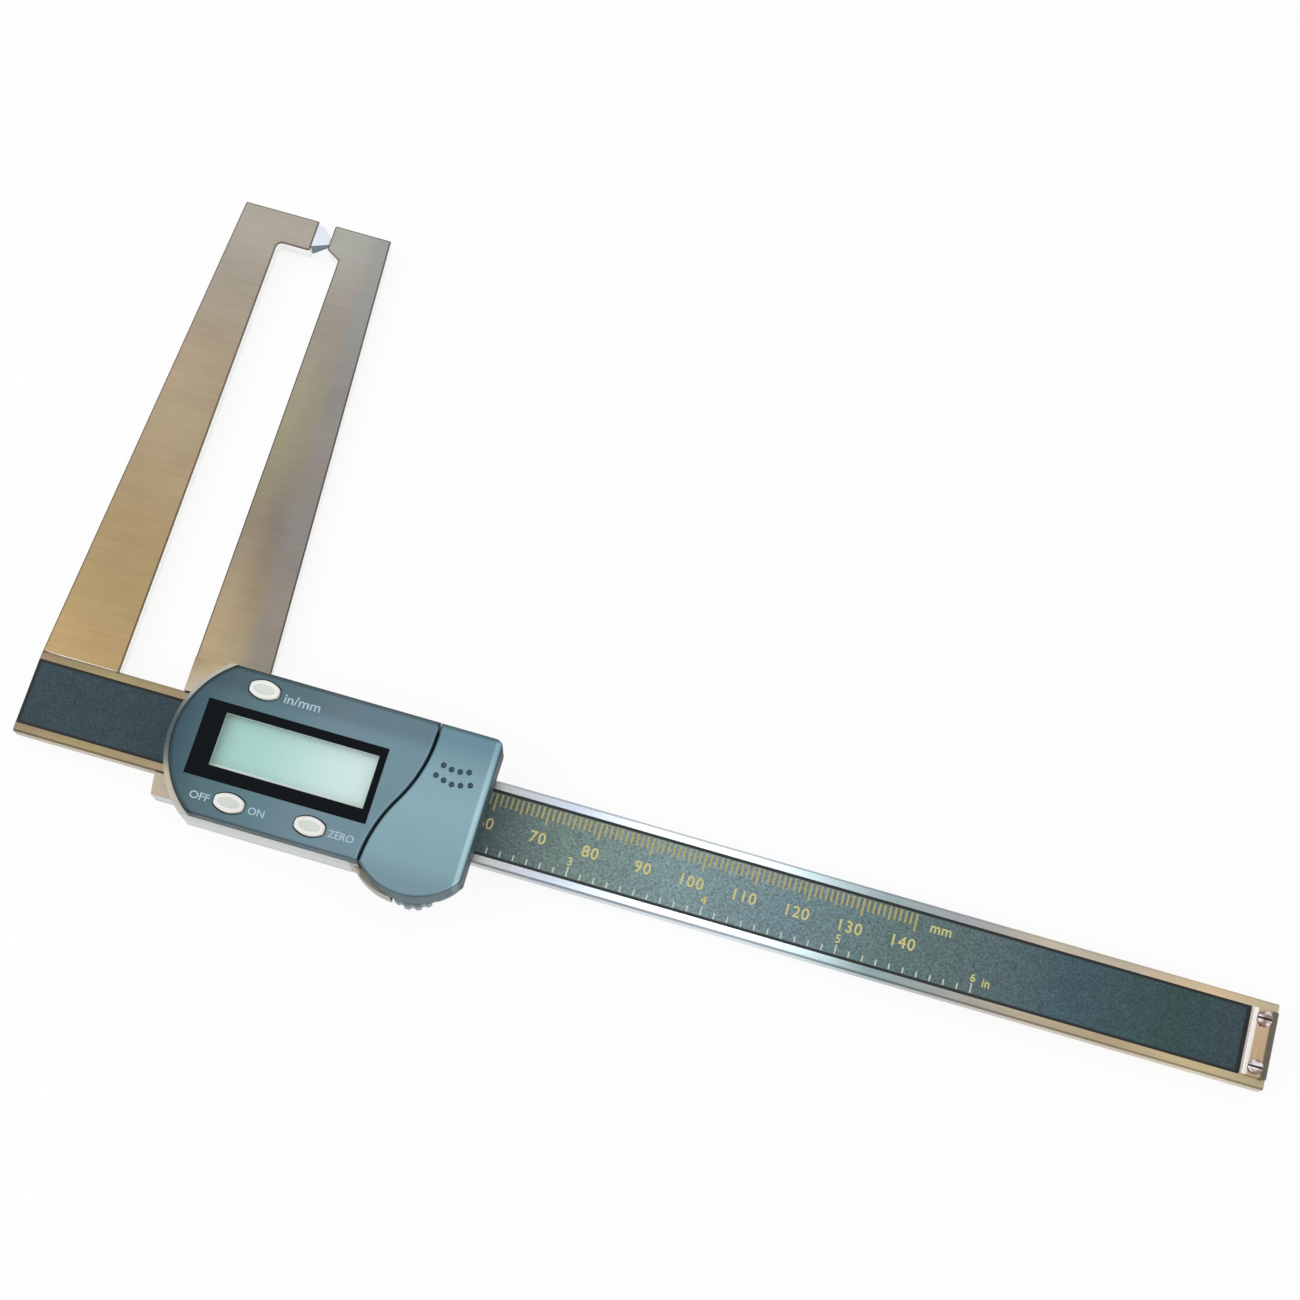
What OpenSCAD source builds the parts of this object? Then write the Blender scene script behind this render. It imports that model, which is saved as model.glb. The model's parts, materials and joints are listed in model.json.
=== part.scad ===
// Digital rotor gauge: a beam caliper with two long hooked jaws.
// X runs along the beam towards its free end, Y towards the jaw tips, Z out of the display.
// The origin is the middle of the overall box, on the plane that the slider's back lies on.

/* [Beam] */
// Overall length of the beam
beam_l = 236.6; // [220:0.2:300]
// Height of the beam across its face
beam_w = 16; // [15:0.5:18]
// Thickness of the beam
beam_t = 3.5; // [3:0.1:5]
// Chamfer on the two front edges of the beam
beam_chamfer = 0.4; // [0.2:0.05:0.6]
// Width of the recessed scale strip
strip_w = 12.6; // [10:0.2:13]
// Depth of the recess for the scale strip
recess_d = 0.75; // [0.65:0.05:1]
// Thickness of the capacitive grating board
grating_t = 0.45; // [0.3:0.05:0.45]
// Thickness of the printed label over the grating
label_t = 0.2; // [0.1:0.05:0.2]

/* [End stop] */
// Length of the stop plate along the beam
stop_w = 5; // [4:0.2:8]
// Length of the stop plate across the beam
stop_l = 12.4; // [11:0.2:14]
// Height of the stop plate above the beam's face
stop_h = 1; // [0.6:0.1:1.2]
// Chamfer on the stop plate's two long edges
stop_chamfer = 0.4; // [0.2:0.05:0.5]
// Distance between the two stop screws
stop_pitch = 8.9; // [7:0.1:9]
// Radius of a stop screw's head
stop_head_r = 1.35; // [1.1:0.05:1.5]
// Height of a stop screw's head
stop_head_h = 0.4; // [0.3:0.05:0.5]
// Radius of a stop screw's shank
stop_shank_r = 0.8; // [0.5:0.05:0.9]
// Length of a stop screw's shank in the beam
stop_shank_l = 2.4; // [1.5:0.1:2.6]

/* [Jaws] */
// Reach of both jaws above the beam's top edge
jaw_reach = 98.6; // [80:0.2:120]
// Width of a jaw where it meets the beam's top edge
jaw_root_w = 14.9; // [13:0.1:18]
// Width of a jaw's blade at its top
jaw_tip_w = 8.7; // [6:0.1:12]
// Length of the fixed jaw's hook past the blade
fixed_hook_l = 6.55; // [5:0.05:9]
// Height of the fixed jaw's hook
fixed_hook_h = 6.6; // [6:0.1:9]
// Length of the moving jaw's hook past the blade
moving_hook_l = 2.8; // [1.5:0.1:5]
// Height of the moving jaw's flat measuring face
moving_face_h = 5.3; // [4:0.1:8]
// Drop of the moving hook's sloping underside
moving_hook_drop = 1.7; // [0.5:0.1:3]
// Fillet inside the fixed hook
hook_fillet = 1.2; // [0.4:0.1:2]
// Length of the tenon at each jaw's root
tenon_l = 8; // [5:0.5:10]
// Depth of the tenon
tenon_d = 3; // [2:0.1:4]
// Thickness of the tenon
tenon_t = 1.2; // [0.8:0.1:1.4]

/* [Contact tip] */
// Length of the pointed tip from the hook to its measuring face
tip_l = 3.25; // [2:0.05:5]
// Height of the tip at its base
tip_base_h = 4.9; // [3:0.1:6]
// Side of the square measuring face
tip_face = 1.1; // [0.6:0.1:2]
// Length of the straight shoulder on the contact tip's upper side
tip_shoulder = 1.2; // [0.8:0.1:1.5]
// Distance of the tip's axis below the jaws' top
tip_drop = 3.2; // [3:0.1:4]
// Radius of the tip's shank
tip_shank_r = 1; // [0.6:0.05:1.2]
// Length of the tip's shank
tip_shank_l = 4; // [2:0.1:5]

/* [Slider frame] */
// Length of the slider
slider_l = 60.6; // [60.2:0.1:66]
// Distance of the frame's right end inside the slider's right end
frame_in = 1.3; // [1:0.1:1.6]
// Thickness of the back plate
back_t = 1.6; // [1.2:0.1:2.5]
// Top edge of the frame above the beam's centre line
frame_top = 14.7; // [14.2:0.1:17]
// Height of the frame's rim above its rails
rim_h = 1.25; // [1.1:0.05:1.6]
// Height of the metal wall round the main cover above the frame's rim
wall_rise = 3.9; // [3:0.1:4.2]
// Distance of the metal wall's inner face inside the cover's outline
wall_inset = 0.75; // [0.6:0.05:0.8]
// Radius of the rim's round left end
rim_nose_r = 19; // [18.8:0.1:19.2]
// Distance of the rim's round end from the frame's left end
rim_x0 = 1.05; // [0.9:0.05:1.2]
// Distance of the rim's round end below the beam's centre line
rim_drop = 0.4; // [0.2:0.05:0.5]
// How far the rim stands above the covers' top edge
rim_over = 0.8; // [0.5:0.1:0.9]
// How far the rim stands below the main cover's bottom edge
rim_under = 0.1; // [0.05:0.05:0.3]
// How far the left toe leans in at its foot
toe_lean = 0.7; // [0:0.1:1.5]
// Height of the left toe below the beam's bottom edge
toe_h = 4.3; // [3:0.1:5]
// How much larger the lug's radius is than the lobe's to the left of the roller
lug_proud = 0.55; // [0.4:0.05:0.8]
// Distance of the lug's centre to the left of the lobe's
lug_left = 1.8; // [1.5:0.1:2]
// Distance of the lug's centre above the lobe's
lug_up = 0.7; // [0.5:0.1:0.9]
// How far the roller's lug stays inside the lobe to the right of the roller
lug_back = 1; // [0.8:0.1:1.2]
// Left end of the window for the circuit board
window_x0 = 5.5; // [5:0.1:6]
// Distance of the board window's right end from the slider's right end
window_in = 4.8; // [4:0.1:5.5]
// Distance of the window's rounded left end inside the cover's nose
window_nose = 1.6; // [1.2:0.1:1.8]
// Top edge of the window above the beam's centre line
window_top = 12.5; // [12.5:0.05:12.7]
// Bottom edge of the window below the beam's centre line
window_bottom = 13.6; // [13.4:0.1:14]
// Distance from the slider's right end to the step that clears the roller's lug
window_step_in = 17.6; // [17:0.1:18.5]
// Bottom edge of the window beside the roller's lug
window_step = 9.4; // [9:0.1:10]

/* [Gib] */
// Length of the gib strip
gib_l = 48; // [40:1:50]
// Thickness of the gib strip
gib_t = 0.7; // [0.5:0.05:1]
// Width of the gib strip
gib_w = 2.8; // [2:0.1:3]
// Left end of the gib strip on the slider
gib_x = 6; // [5:0.5:8]
// Distance of the first gib screw from the gib's left end
gib_screw_left = 13; // [8:0.5:18]
// Distance of the second gib screw from the gib's right end
gib_screw_right = 3; // [2:0.1:14]
// Radius of a gib screw
gib_screw_r = 1.2; // [0.8:0.05:1.4]
// Depth of a gib screw's outer end below the frame's top
gib_screw_sink = 0.5; // [0.2:0.1:1]

/* [Cover] */
// Distance from the frame's left end to the cover's nose
cover_x0 = 2.6; // [2.4:0.05:2.8]
// How far the cover runs past the slider's right end
cover_past = 0.05; // [0:0.05:0.5]
// Top edge of the cover above the beam's centre line
cover_top_y = 13.5; // [13.2:0.1:14.5]
// Bottom edge of the cover below the beam's centre line
cover_bottom_y = 14.9; // [14.8:0.1:15.4]
// Radius of the cover's round nose
nose_r = 17.6; // [17.4:0.1:18]
// Distance of the nose's centre below the beam's centre line
nose_drop = 0.75; // [0.5:0.05:0.9]
// Thickness of the cover's front wall
front_t = 1.4; // [1.2:0.1:2]
// Thickness of the cover's side walls
wall_t = 1; // [0.8:0.1:1.2]
// Rounding of the cover's top right corner
corner_r = 1.6; // [0.8:0.1:3]
// Radius of the lobe over the thumb roller
lobe_r = 11.7; // [11.5:0.1:12.2]
// Distance of the lobe's centre from the slider's right end
lobe_in = 9.85; // [8.6:0.05:10.6]
// Place of the lobe's centre below the beam's centre line
lobe_y = 6.9; // [6.5:0.1:7.5]
// Distance of the seam's top from the slider's right end
seam_top_in = 11.75; // [10.6:0.05:12.6]
// Distance of the seam's foot from the slider's right end
seam_foot_in = 18.55; // [18.1:0.05:19.1]
// Height at which the seam starts to bend
seam_bend_y = 10.9; // [9:0.1:12]
// Place below the beam's centre line where the seam's bend ends
seam_foot_y = 15.5; // [15:0.1:16]
// Radius of the screw bosses
boss_r = 2; // [1.7:0.05:2]
// Distance of the first lower boss from the slider's left end
boss_lower_left = 11.2; // [11.1:0.05:11.3]
// Distance of the second lower boss from the seam's foot
boss_lower_seam = 3.65; // [3.5:0.05:4.5]
// Distance of the lower bosses below the beam's centre line
boss_lower_y = 10.9; // [10.4:0.1:11]
// Distance of the first upper boss from the slider's left end
boss_upper_left = 24; // [22.5:0.1:30]
// Distance of the second upper boss from the seam's top
boss_upper_seam = 4.85; // [4:0.05:6]
// Distance of the upper bosses below the cover's top edge
boss_upper_in = 3.05; // [3.05:0.05:3.3]

/* [Display] */
// Left edge of the bezel on the slider
bezel_x = 7.2; // [6.8:0.05:7.6]
// Bottom edge of the bezel below the beam's centre line
bezel_y = 8.15; // [7.9:0.05:8.4]
// Distance of the bezel's right edge from the slider's right end
bezel_in = 19.45; // [19:0.05:22]
// Height of the bezel
bezel_w = 14.2; // [13.8:0.05:14.4]
// Thickness of the bezel
bezel_t = 0.85; // [0.6:0.05:0.9]
// Left border of the bezel
bezel_left = 3.8; // [3:0.1:4.5]
// Bottom border of the bezel
bezel_under = 2.5; // [2.2:0.05:3]
// Right border of the bezel
bezel_right = 1.3; // [1:0.1:3]
// Height of the display window
window_w = 10.05; // [9:0.05:10.2]
// Thickness of the lens flange behind the cover
lens_t = 0.8; // [0.6:0.1:1]
// Overlap of the lens flange and display around the window
lens_lap = 1.2; // [0.8:0.1:1.4]
// How far the lens face lies below the bezel
lens_sink = 0.3; // [0.1:0.05:0.6]
// Thickness of the display glass
lcd_t = 1.6; // [1.2:0.1:2]
// Width of each elastomer strip
zebra_w = 1.6; // [1:0.1:2]

/* [Buttons] */
// Length of a button
button_l = 5.6; // [5:0.1:6]
// Width of a button
button_w = 3.5; // [3.2:0.1:3.8]
// Radius of a button's two long sides
button_side_r = 4.3; // [3.6:0.05:4.5]
// How far a button stands above the cover
button_proud = 0.6; // [0.55:0.05:1]
// Thickness of the button's flange
flange_t = 0.8; // [0.6:0.1:1.2]
// Overlap of the flange at each end of the button
flange_lap = 0.6; // [0.4:0.1:0.8]
// Radius of the button's stem
stem_r = 1.2; // [0.8:0.1:1.5]
// Radius of a snap dome
dome_r = 2; // [1.6:0.1:2.2]
// Height of a snap dome
dome_h = 0.6; // [0.5:0.05:0.8]
// Place of the unit button
unit_at = [16.25, 10.2]; // [9.8:0.05:16.5]
// Place of the power button
power_at = [16.8, -11.4]; // [-11.4:0.05:18]
// Distance of the zero button from the bezel's right edge
zero_in = 9.3; // [9:0.05:12]
// Distance of the zero button below the beam's centre line
zero_y = 11.4; // [11:0.05:11.4]

/* [Electronics] */
// Thickness of the circuit board
board_t = 1; // [0.8:0.05:1.1]
// Radius of the covered chip
chip_r = 4; // [3:0.1:4.5]
// Height of the covered chip
chip_h = 1.2; // [0.8:0.1:2]
// Place of the chip on the slider
chip_at = [24, -0.8]; // [-1:0.1:30]

/* [Battery] */
// Radius of the button cell
battery_r = 5.8; // [5:0.05:5.8]
// Height of the button cell
battery_h = 5.4; // [4.2:0.1:5.6]
// Step round the cell's negative end
battery_step = 0.6; // [0.4:0.05:0.8]
// Distance of the cell's axis from the slider's right end
battery_in = 8; // [8:0.05:9]
// Distance of the cell's axis below the beam's centre line
battery_y = 1.5; // [1:0.05:2]
// Thickness of the tray floor
floor_t = 0.6; // [0.5:0.05:1]
// Wall of the ring round the cell
ring_t = 0.8; // [0.6:0.05:0.85]
// Height of the ring above the floor
ring_h = 4.6; // [3:0.1:5]
// Thickness of the contact springs
contact_t = 0.25; // [0.15:0.05:0.3]
// Width of the contact springs
contact_w = 3; // [2:0.1:4]
// Distance of the negative contact's leg inside the cell's edge
negative_inset = 1; // [0.6:0.1:1.5]
// Radius of a grip dimple
dimple_r = 0.5; // [0.3:0.05:0.6]
// Depth of a grip dimple
dimple_d = 0.35; // [0.2:0.05:0.5]
// Distance of the grip mark's point from the slider's right end
dimple_in = 10; // [9:0.1:11]
// Distance of the grip mark's point above the beam's centre line
dimple_y = 3.9; // [3:0.1:6]

/* [Battery cover guides] */
// Thickness of a guide wall
guide_t = 0.9; // [0.7:0.05:1.2]
// Height of a guide wall above the tray floor
guide_h = 3.4; // [2.6:0.1:4]
// Distance of the guides' left ends from the slider's right end
guide_in = 10.1; // [7:0.1:11]
// Height of a guide's tongue above the tray floor
tongue_rise = 1.4; // [1:0.1:1.8]
// Thickness of a guide's tongue
tongue_h = 0.7; // [0.5:0.05:0.8]
// Depth of a guide's tongue
tongue_d = 0.4; // [0.2:0.05:0.45]
// Distance of the lower rail below the beam's centre line
rail_y = 13.4; // [13.2:0.1:13.6]
// Thickness of the lower rail
rail_t = 1.4; // [1.1:0.1:2]
// Distance of the lower rail's left end from the slider's right end
rail_in = 13.6; // [10:0.1:14.5]

/* [Thumb roller] */
// Tip radius of the roller's teeth
roller_r = 5.5; // [5.4:0.05:5.6]
// Thickness of the roller
roller_t = 3; // [2:0.1:3.2]
// Distance of the roller's axis from the slider's right end
roller_in = 9; // [8.8:0.05:9.2]
// Count of the roller's teeth
roller_teeth = 16; // [12:2:24]
// Radius of the grooves between the teeth
groove_r = 0.62; // [0.3:0.02:0.7]
// How far the grooves' centres lie outside the teeth's tips
groove_out = 0.2; // [0:0.05:0.25]
// Radius of the roller's axle
axle_r = 1.25; // [0.9:0.05:1.6]
// Distance of the lug's cut-out to the left of the roller's axis
scallop_left = 3.2; // [3:0.05:3.6]
// Distance of the lug's cut-out to the right of the roller's axis
scallop_right = 5.85; // [5:0.05:6]
// Top of the cut-out below the beam's centre line
scallop_y = 15.9; // [15.7:0.1:16.2]

/* [Cover screws] */
// Radius of a cover screw's shank
screw_r = 0.95; // [0.7:0.05:1]
// Length of a cover screw
screw_l = 10; // [8.5:0.5:11]
// Radius of a cover screw's countersunk head
screw_head_r = 1.9; // [1.4:0.05:2]
// Height of a cover screw's countersunk head
screw_head_h = 0.9; // [0.6:0.05:1]
// Width of a screwdriver slot
slot_w = 0.4; // [0.3:0.05:0.6]
// Depth of a screwdriver slot
slot_d = 0.3; // [0.2:0.05:0.4]

/* [Fits] */
// Gap between the measuring faces when closed
closed_gap = 0.02; // [0.01:0.01:0.05]
// Clearance between the beam and the slider
slide_gap = 0.1; // [0.05:0.01:0.15]
// Clearance between the beam's face and the end bridges
front_gap = 0.15; // [0.1:0.01:0.2]
// Clearance around a seated piece
seat_gap = 0.05; // [0.02:0.01:0.08]
// Running clearance of the roller on its axle
axle_gap = 0.05; // [0.02:0.01:0.1]
// Clearance between the roller's teeth and the beam
roller_gap = 0.06; // [0.03:0.01:0.1]
// Clearance between the roller and its pocket
pocket_gap = 0.35; // [0.3:0.05:0.5]
// Seam between the main cover and the battery cover
seam_gap = 0.35; // [0.3:0.05:0.5]
// Clearance around a button
button_gap = 0.2; // [0.1:0.01:0.25]
// Clearance around the battery cover and its guides
cap_gap = 0.12; // [0.1:0.01:0.2]

/* [Hidden] */
$fn = 64;

// Length by which a cut runs past the face that it opens
over = 1;

// Heights of the stack, from the slider's back
beam_z0 = back_t + slide_gap;
beam_z1 = beam_z0 + beam_t;
rail_z = beam_z1 + front_gap;
rim_z = rail_z + rim_h;
board_z1 = rail_z + board_t;
floor_z1 = rim_z + floor_t;
battery_z0 = floor_z1 + contact_t + seat_gap;
cover_z1 = battery_z0 + battery_h + cap_gap + front_t;
front_z0 = cover_z1 - front_t;
cap_z0 = rim_z + cap_gap;
wall_z = rim_z + wall_rise;
lcd_z0 = front_z0 - lens_t - seat_gap - lcd_t;
mid_z = (beam_z0 + beam_z1) / 2;

// Places along the beam
fixed_inner_x = jaw_root_w;
fixed_hook_x = fixed_inner_x + fixed_hook_l;
moving_face_x = fixed_hook_x + tip_l + closed_gap;
slider_x = moving_face_x + moving_hook_l;
strip_l = beam_l - stop_w;
stop_x = beam_l - stop_w / 2;

// Places on the slider that keep their distance from its right end
cover_x1 = slider_l + cover_past;
frame_x1 = slider_l - frame_in;
lobe_x = slider_l - lobe_in;
seam_x1 = slider_l - seam_top_in;
seam_x0 = slider_l - seam_foot_in;
window_x1 = slider_l - window_in;
window_step_x = slider_l - window_step_in;
battery_at = [slider_l - battery_in, -battery_y];
dimple_at = [slider_l - dimple_in, dimple_y];
guide_x0 = slider_l - guide_in;
rail_x0 = slider_l - rail_in;
roller_x = slider_l - roller_in;
gib_screw_x = [gib_x + gib_screw_left, gib_x + gib_l - gib_screw_right];

// Display between the cover's nose and the seam, with the zero button under its right end
bezel_l = slider_l - bezel_in - bezel_x;
window_l = bezel_l - bezel_left - bezel_right;
zero_at = [bezel_x + bezel_l - zero_in, -zero_y];

// Heights of the jaws above the beam's centre line
beam_edge = beam_w / 2;
jaw_top = beam_edge + jaw_reach;
tip_y = jaw_top - tip_drop;
jaw_lean = (jaw_root_w - jaw_tip_w) / jaw_reach;
tenon_x = (jaw_root_w - tenon_l) / 2;

// Roller, lobe and the lowest point of the part
roller_y = -beam_edge - roller_gap - roller_r;
pocket_r = roller_r + pocket_gap;
low_y = min(roller_y - roller_r, lug_up - lobe_y - lobe_r - lug_proud);

// Seam of two equal arcs between the cover's top and bottom
seam_dx = seam_x1 - seam_x0;
seam_dy = seam_bend_y + seam_foot_y;
seam_turn = 2 * atan(seam_dx / seam_dy);
seam_r = seam_dy / 2 / sin(seam_turn);

// Counts of straight steps along each arc of the seam, round the cover's corner and in the hook's fillet
seam_steps = 12;
corner_steps = 6;
fillet_steps = 8;

// Inside faces of the cover and the guides of the battery cover
wall_in_top = cover_top_y - wall_t;
guide_x1 = cover_x1 - wall_t - cap_gap - corner_r;
tongue_z = floor_z1 + tongue_rise;

// Display window on the slider
view_x = bezel_x + bezel_left;
view_y = -bezel_y + bezel_under;

// Places of the four cover screws and their bosses
boss_at = [
    [boss_lower_left, -boss_lower_y],
    [seam_x0 - boss_lower_seam, -boss_lower_y],
    [boss_upper_left, cover_top_y - boss_upper_in],
    [seam_x1 - boss_upper_seam, cover_top_y - boss_upper_in]
];

// Places of the contact springs: the positive one stands beside the cell, the negative one lies under it
positive_y = battery_at[1] + battery_r + seat_gap;
negative_x = battery_at[0] - battery_r + negative_inset;

// Grip dimples from the point of the mark: two curved rows
dimple_spots = [
    [0, 0], [0.8, 2.1], [2.4, 1.75], [4, 1.75], [5.6, 2.1],
    [1.6, -0.55], [3.2, -0.9], [4.8, -0.65], [6.5, -0.15]
];

// Moves the model so that the origin is the middle of its box
module in_frame() {
    translate([-beam_l / 2, -(jaw_top + low_y) / 2, 0]) children();
}

// Moves children from the slider's own left end to their place on the beam
module on_slider() {
    in_frame() translate([slider_x, 0, 0]) children();
}

// Block from one corner to the opposite one
module block(low, high) {
    translate(low) cube(high - low);
}

// Flat shape raised between two heights
module slab(z0, z1) {
    translate([0, 0, z0]) linear_extrude(z1 - z0) children();
}

// Upright cylinder at a place on the slider
module post(at, r, z0, z1) {
    translate([at[0], at[1], z0]) cylinder(r = r, h = z1 - z0);
}

// Flat shape with two round ends
module stadium(l, w) {
    run = l - w;
    square([run, w], center = true);
    for (side = [-1, 1]) translate([side * run / 2, 0]) circle(d = w);
}

// Oval of a button, grown by g: two flat arcs cut off by a round end
module oval(g) {
    drop = button_side_r - button_w / 2;
    intersection() {
        translate([0, -drop]) circle(r = button_side_r + g);
        translate([0, drop]) circle(r = button_side_r + g);
        circle(r = button_l / 2 + g);
    }
}

// Tapered blade of a jaw, its straight edge at x = 0 and its sloping edge at negative x
module blade(from_y) {
    root = jaw_root_w - jaw_lean * (from_y - beam_edge);
    polygon([[0, from_y], [0, jaw_top], [-jaw_tip_w, jaw_top], [-root, from_y]]);
}

// Tenon of a jaw, seated below the joint line
module tenon(x, y, gap) {
    block([x - gap, y - tenon_d - gap, mid_z - tenon_t / 2 - gap],
          [x + tenon_l + gap, y + gap, mid_z + tenon_t / 2 + gap]);
}

// Screwdriver slot across an upright screw's axis
module drive_slot(r) {
    cube([2 * r + over, slot_w, 2 * slot_d], center = true);
}

// Unit arrow at an angle
function arrow(angle) = [cos(angle), sin(angle)];

// Points along an arc from one angle to another
function arc(centre, r, from, to, steps) =
    [for (i = [0 : steps]) centre + r * arrow(from + (to - from) * i / steps)];

// Everything to the right of the cover's round nose, grown by g
module nose(g) {
    round_end(cover_x0 + nose_r, nose_drop, nose_r + g);
}

// Everything to the right of a round end, from its centre's place and its radius
module round_end(x, drop, r) {
    translate([x, -drop]) circle(r = r, $fn = 128);
    translate([x, low_y - over]) square([slider_l, frame_top - low_y + 2 * over]);
}

// Outline of the two covers together, grown by g
module cover_outline(g) {
    right = cover_x1 + g;
    top = cover_top_y + g;
    bottom = -cover_bottom_y - g;
    corner = arc([cover_x1 - corner_r, cover_top_y - corner_r], corner_r + g, 0, 90, corner_steps);
    intersection() {
        polygon(concat([[0, top], [0, bottom], [lobe_x, bottom], [lobe_x, -lobe_y], [right, -lobe_y]],
                       corner));
        nose(g);
    }
    lobe(g, right);
}

// Round lobe over the thumb roller, grown by g, moved by shift and cut off at the right
module lobe(g, right, shift = [0, 0]) {
    reach = 2 * lobe_r;
    rise = lobe_r / 4;
    intersection() {
        translate([lobe_x, -lobe_y] + shift) circle(r = lobe_r + g, $fn = 128);
        translate([lobe_x - reach, -lobe_y - reach]) square([right - lobe_x + reach, reach + rise]);
    }
}

// Everything to the right of the S-shaped seam, moved along by shift
module right_of_seam(shift) {
    far = cover_x1 + over - shift;
    foot = low_y - over;
    head = frame_top + over;
    upper = arc([seam_x1 - seam_r, seam_bend_y], seam_r, 0, -seam_turn, seam_steps);
    lower = arc([seam_x0 + seam_r, -seam_foot_y], seam_r, 180 - seam_turn, 180, seam_steps);
    translate([shift, 0]) {
        polygon(concat([[far, head], [seam_x1, head]], upper, [for (i = [1 : seam_steps]) lower[i]],
                       [[seam_x0, foot], [far, foot]]));
    }
}

// Outline of the metal rim under the covers, without the roller's lug
module rim_body() {
    top = cover_top_y + rim_over;
    bottom = -cover_bottom_y - rim_under;
    intersection() {
        polygon([[0, top], [0, bottom], [lobe_x, bottom],
                 [lobe_x, -lobe_y], [frame_x1, -lobe_y], [frame_x1, top]]);
        round_end(rim_x0 + rim_nose_r, rim_drop, rim_nose_r);
    }
}

// Outline of the whole metal rim
module rim_outline() {
    rim_body();
    lobe(lug_proud, roller_x, [-lug_left, lug_up]);
    lobe(-lug_back, frame_x1);
}

// Outline of the metal wall that rises from the rim round the main cover
module wall_outline() {
    difference() {
        rim_body();
        cover_outline(-wall_inset);
        right_of_seam(-seam_gap);
    }
}

// Outline of the metal frame below its rim and of the back plate
module frame_outline() {
    foot = -beam_edge - toe_h;
    polygon([[0, frame_top], [0, -beam_edge], [toe_lean, foot], [lobe_x, foot],
             [lobe_x, -lobe_y], [frame_x1, -lobe_y], [frame_x1, frame_top]]);
    rim_outline();
}

// Cut-out in the lug that bares the roller
module scallop() {
    translate([roller_x - scallop_left, low_y - over]) {
        square([scallop_left + scallop_right, -scallop_y - low_y + over]);
    }
}

// Outline of the circuit board and, grown by g, of its window in the frame
module board_outline(g) {
    left = window_x0 + seat_gap - g;
    right = window_x1 - seat_gap + g;
    top = window_top - seat_gap + g;
    bottom = seat_gap - window_bottom - g;
    step_x = window_step_x - seat_gap + g;
    step_y = seat_gap - window_step - g;
    intersection() {
        polygon([[left, top], [left, bottom], [step_x, bottom],
                 [step_x, step_y], [right, step_y], [right, top]]);
        nose(g - seat_gap - window_nose);
    }
}

// Display window grown by g
module view(g) {
    translate([view_x - g, view_y - g]) square([window_l + 2 * g, window_w + 2 * g]);
}

// Bezel outline grown by g
module bezel_outline(g) {
    translate([bezel_x - g, -bezel_y - g]) square([bezel_l + 2 * g, bezel_w + 2 * g]);
}

module beam() {
    color("tan") in_frame() {
        difference() {
            rotate([90, 0, 90]) linear_extrude(beam_l) {
                polygon([[-beam_edge, beam_z0], [beam_edge, beam_z0],
                         [beam_edge, beam_z1 - beam_chamfer], [beam_edge - beam_chamfer, beam_z1],
                         [beam_chamfer - beam_edge, beam_z1], [-beam_edge, beam_z1 - beam_chamfer]]);
            }
            block([-over, -strip_w / 2, beam_z1 - recess_d], [strip_l, strip_w / 2, beam_z1 + over]);
            tenon(tenon_x, beam_edge, seat_gap);
            for (side = [-1, 1]) {
                post([stop_x, side * stop_pitch / 2], stop_shank_r + seat_gap,
                     beam_z1 - stop_shank_l - seat_gap, beam_z1 + over);
            }
        }
    }
}

module fixed_jaw() {
    color("tan") in_frame() {
        difference() {
            union() {
                slab(beam_z0, beam_z1) {
                    translate([fixed_inner_x, 0]) {
                        blade(beam_edge);
                        translate([0, jaw_top - fixed_hook_h]) square([fixed_hook_l, fixed_hook_h]);
                        translate([0, jaw_top - fixed_hook_h - hook_fillet]) {
                            polygon(concat([[0, hook_fillet]],
                                           arc([hook_fillet, 0], hook_fillet, 180, 90, fillet_steps)));
                        }
                    }
                }
                tenon(tenon_x, beam_edge, 0);
            }
            translate([fixed_hook_x + over, tip_y, mid_z]) {
                rotate([0, -90, 0]) cylinder(r = tip_shank_r + seat_gap, h = tip_shank_l + seat_gap + over);
            }
        }
    }
}

module contact_tip() {
    color("white") in_frame() translate([fixed_hook_x, tip_y, mid_z]) {
        intersection() {
            linear_extrude(beam_t, center = true) {
                polygon([[0, -tip_base_h / 2], [tip_l, -tip_face / 2],
                         [tip_l, tip_face / 2], [tip_shoulder, tip_base_h / 2], [0, tip_base_h / 2]]);
            }
            rotate([90, 0, 0]) linear_extrude(tip_base_h, center = true) {
                polygon([[0, -beam_t / 2], [tip_l, -tip_face / 2], [tip_l, tip_face / 2], [0, beam_t / 2]]);
            }
        }
        rotate([0, -90, 0]) cylinder(r = tip_shank_r, h = tip_shank_l);
    }
}

// Strip in the beam's recess between two heights above its floor
module strip_layer(z0, z1) {
    base = beam_z1 - recess_d;
    block([0, -strip_w / 2 + seat_gap, base + z0], [strip_l - seat_gap, strip_w / 2 - seat_gap, base + z1]);
}

module scale_grating() {
    color("goldenrod") in_frame() strip_layer(0, grating_t);
}

module scale_label() {
    color("darkslategray") in_frame() strip_layer(grating_t, grating_t + label_t);
}

module end_stop() {
    half = stop_w / 2;
    color("silver") in_frame() translate([stop_x, 0, beam_z1]) {
        difference() {
            rotate([90, 0, 0]) linear_extrude(stop_l, center = true) {
                polygon([[-half, 0], [half, 0], [half, stop_h - stop_chamfer], [half - stop_chamfer, stop_h],
                         [stop_chamfer - half, stop_h], [-half, stop_h - stop_chamfer]]);
            }
            for (side = [-1, 1]) {
                post([0, side * stop_pitch / 2], stop_shank_r + seat_gap, -over, stop_h + over);
            }
        }
    }
}

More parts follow.
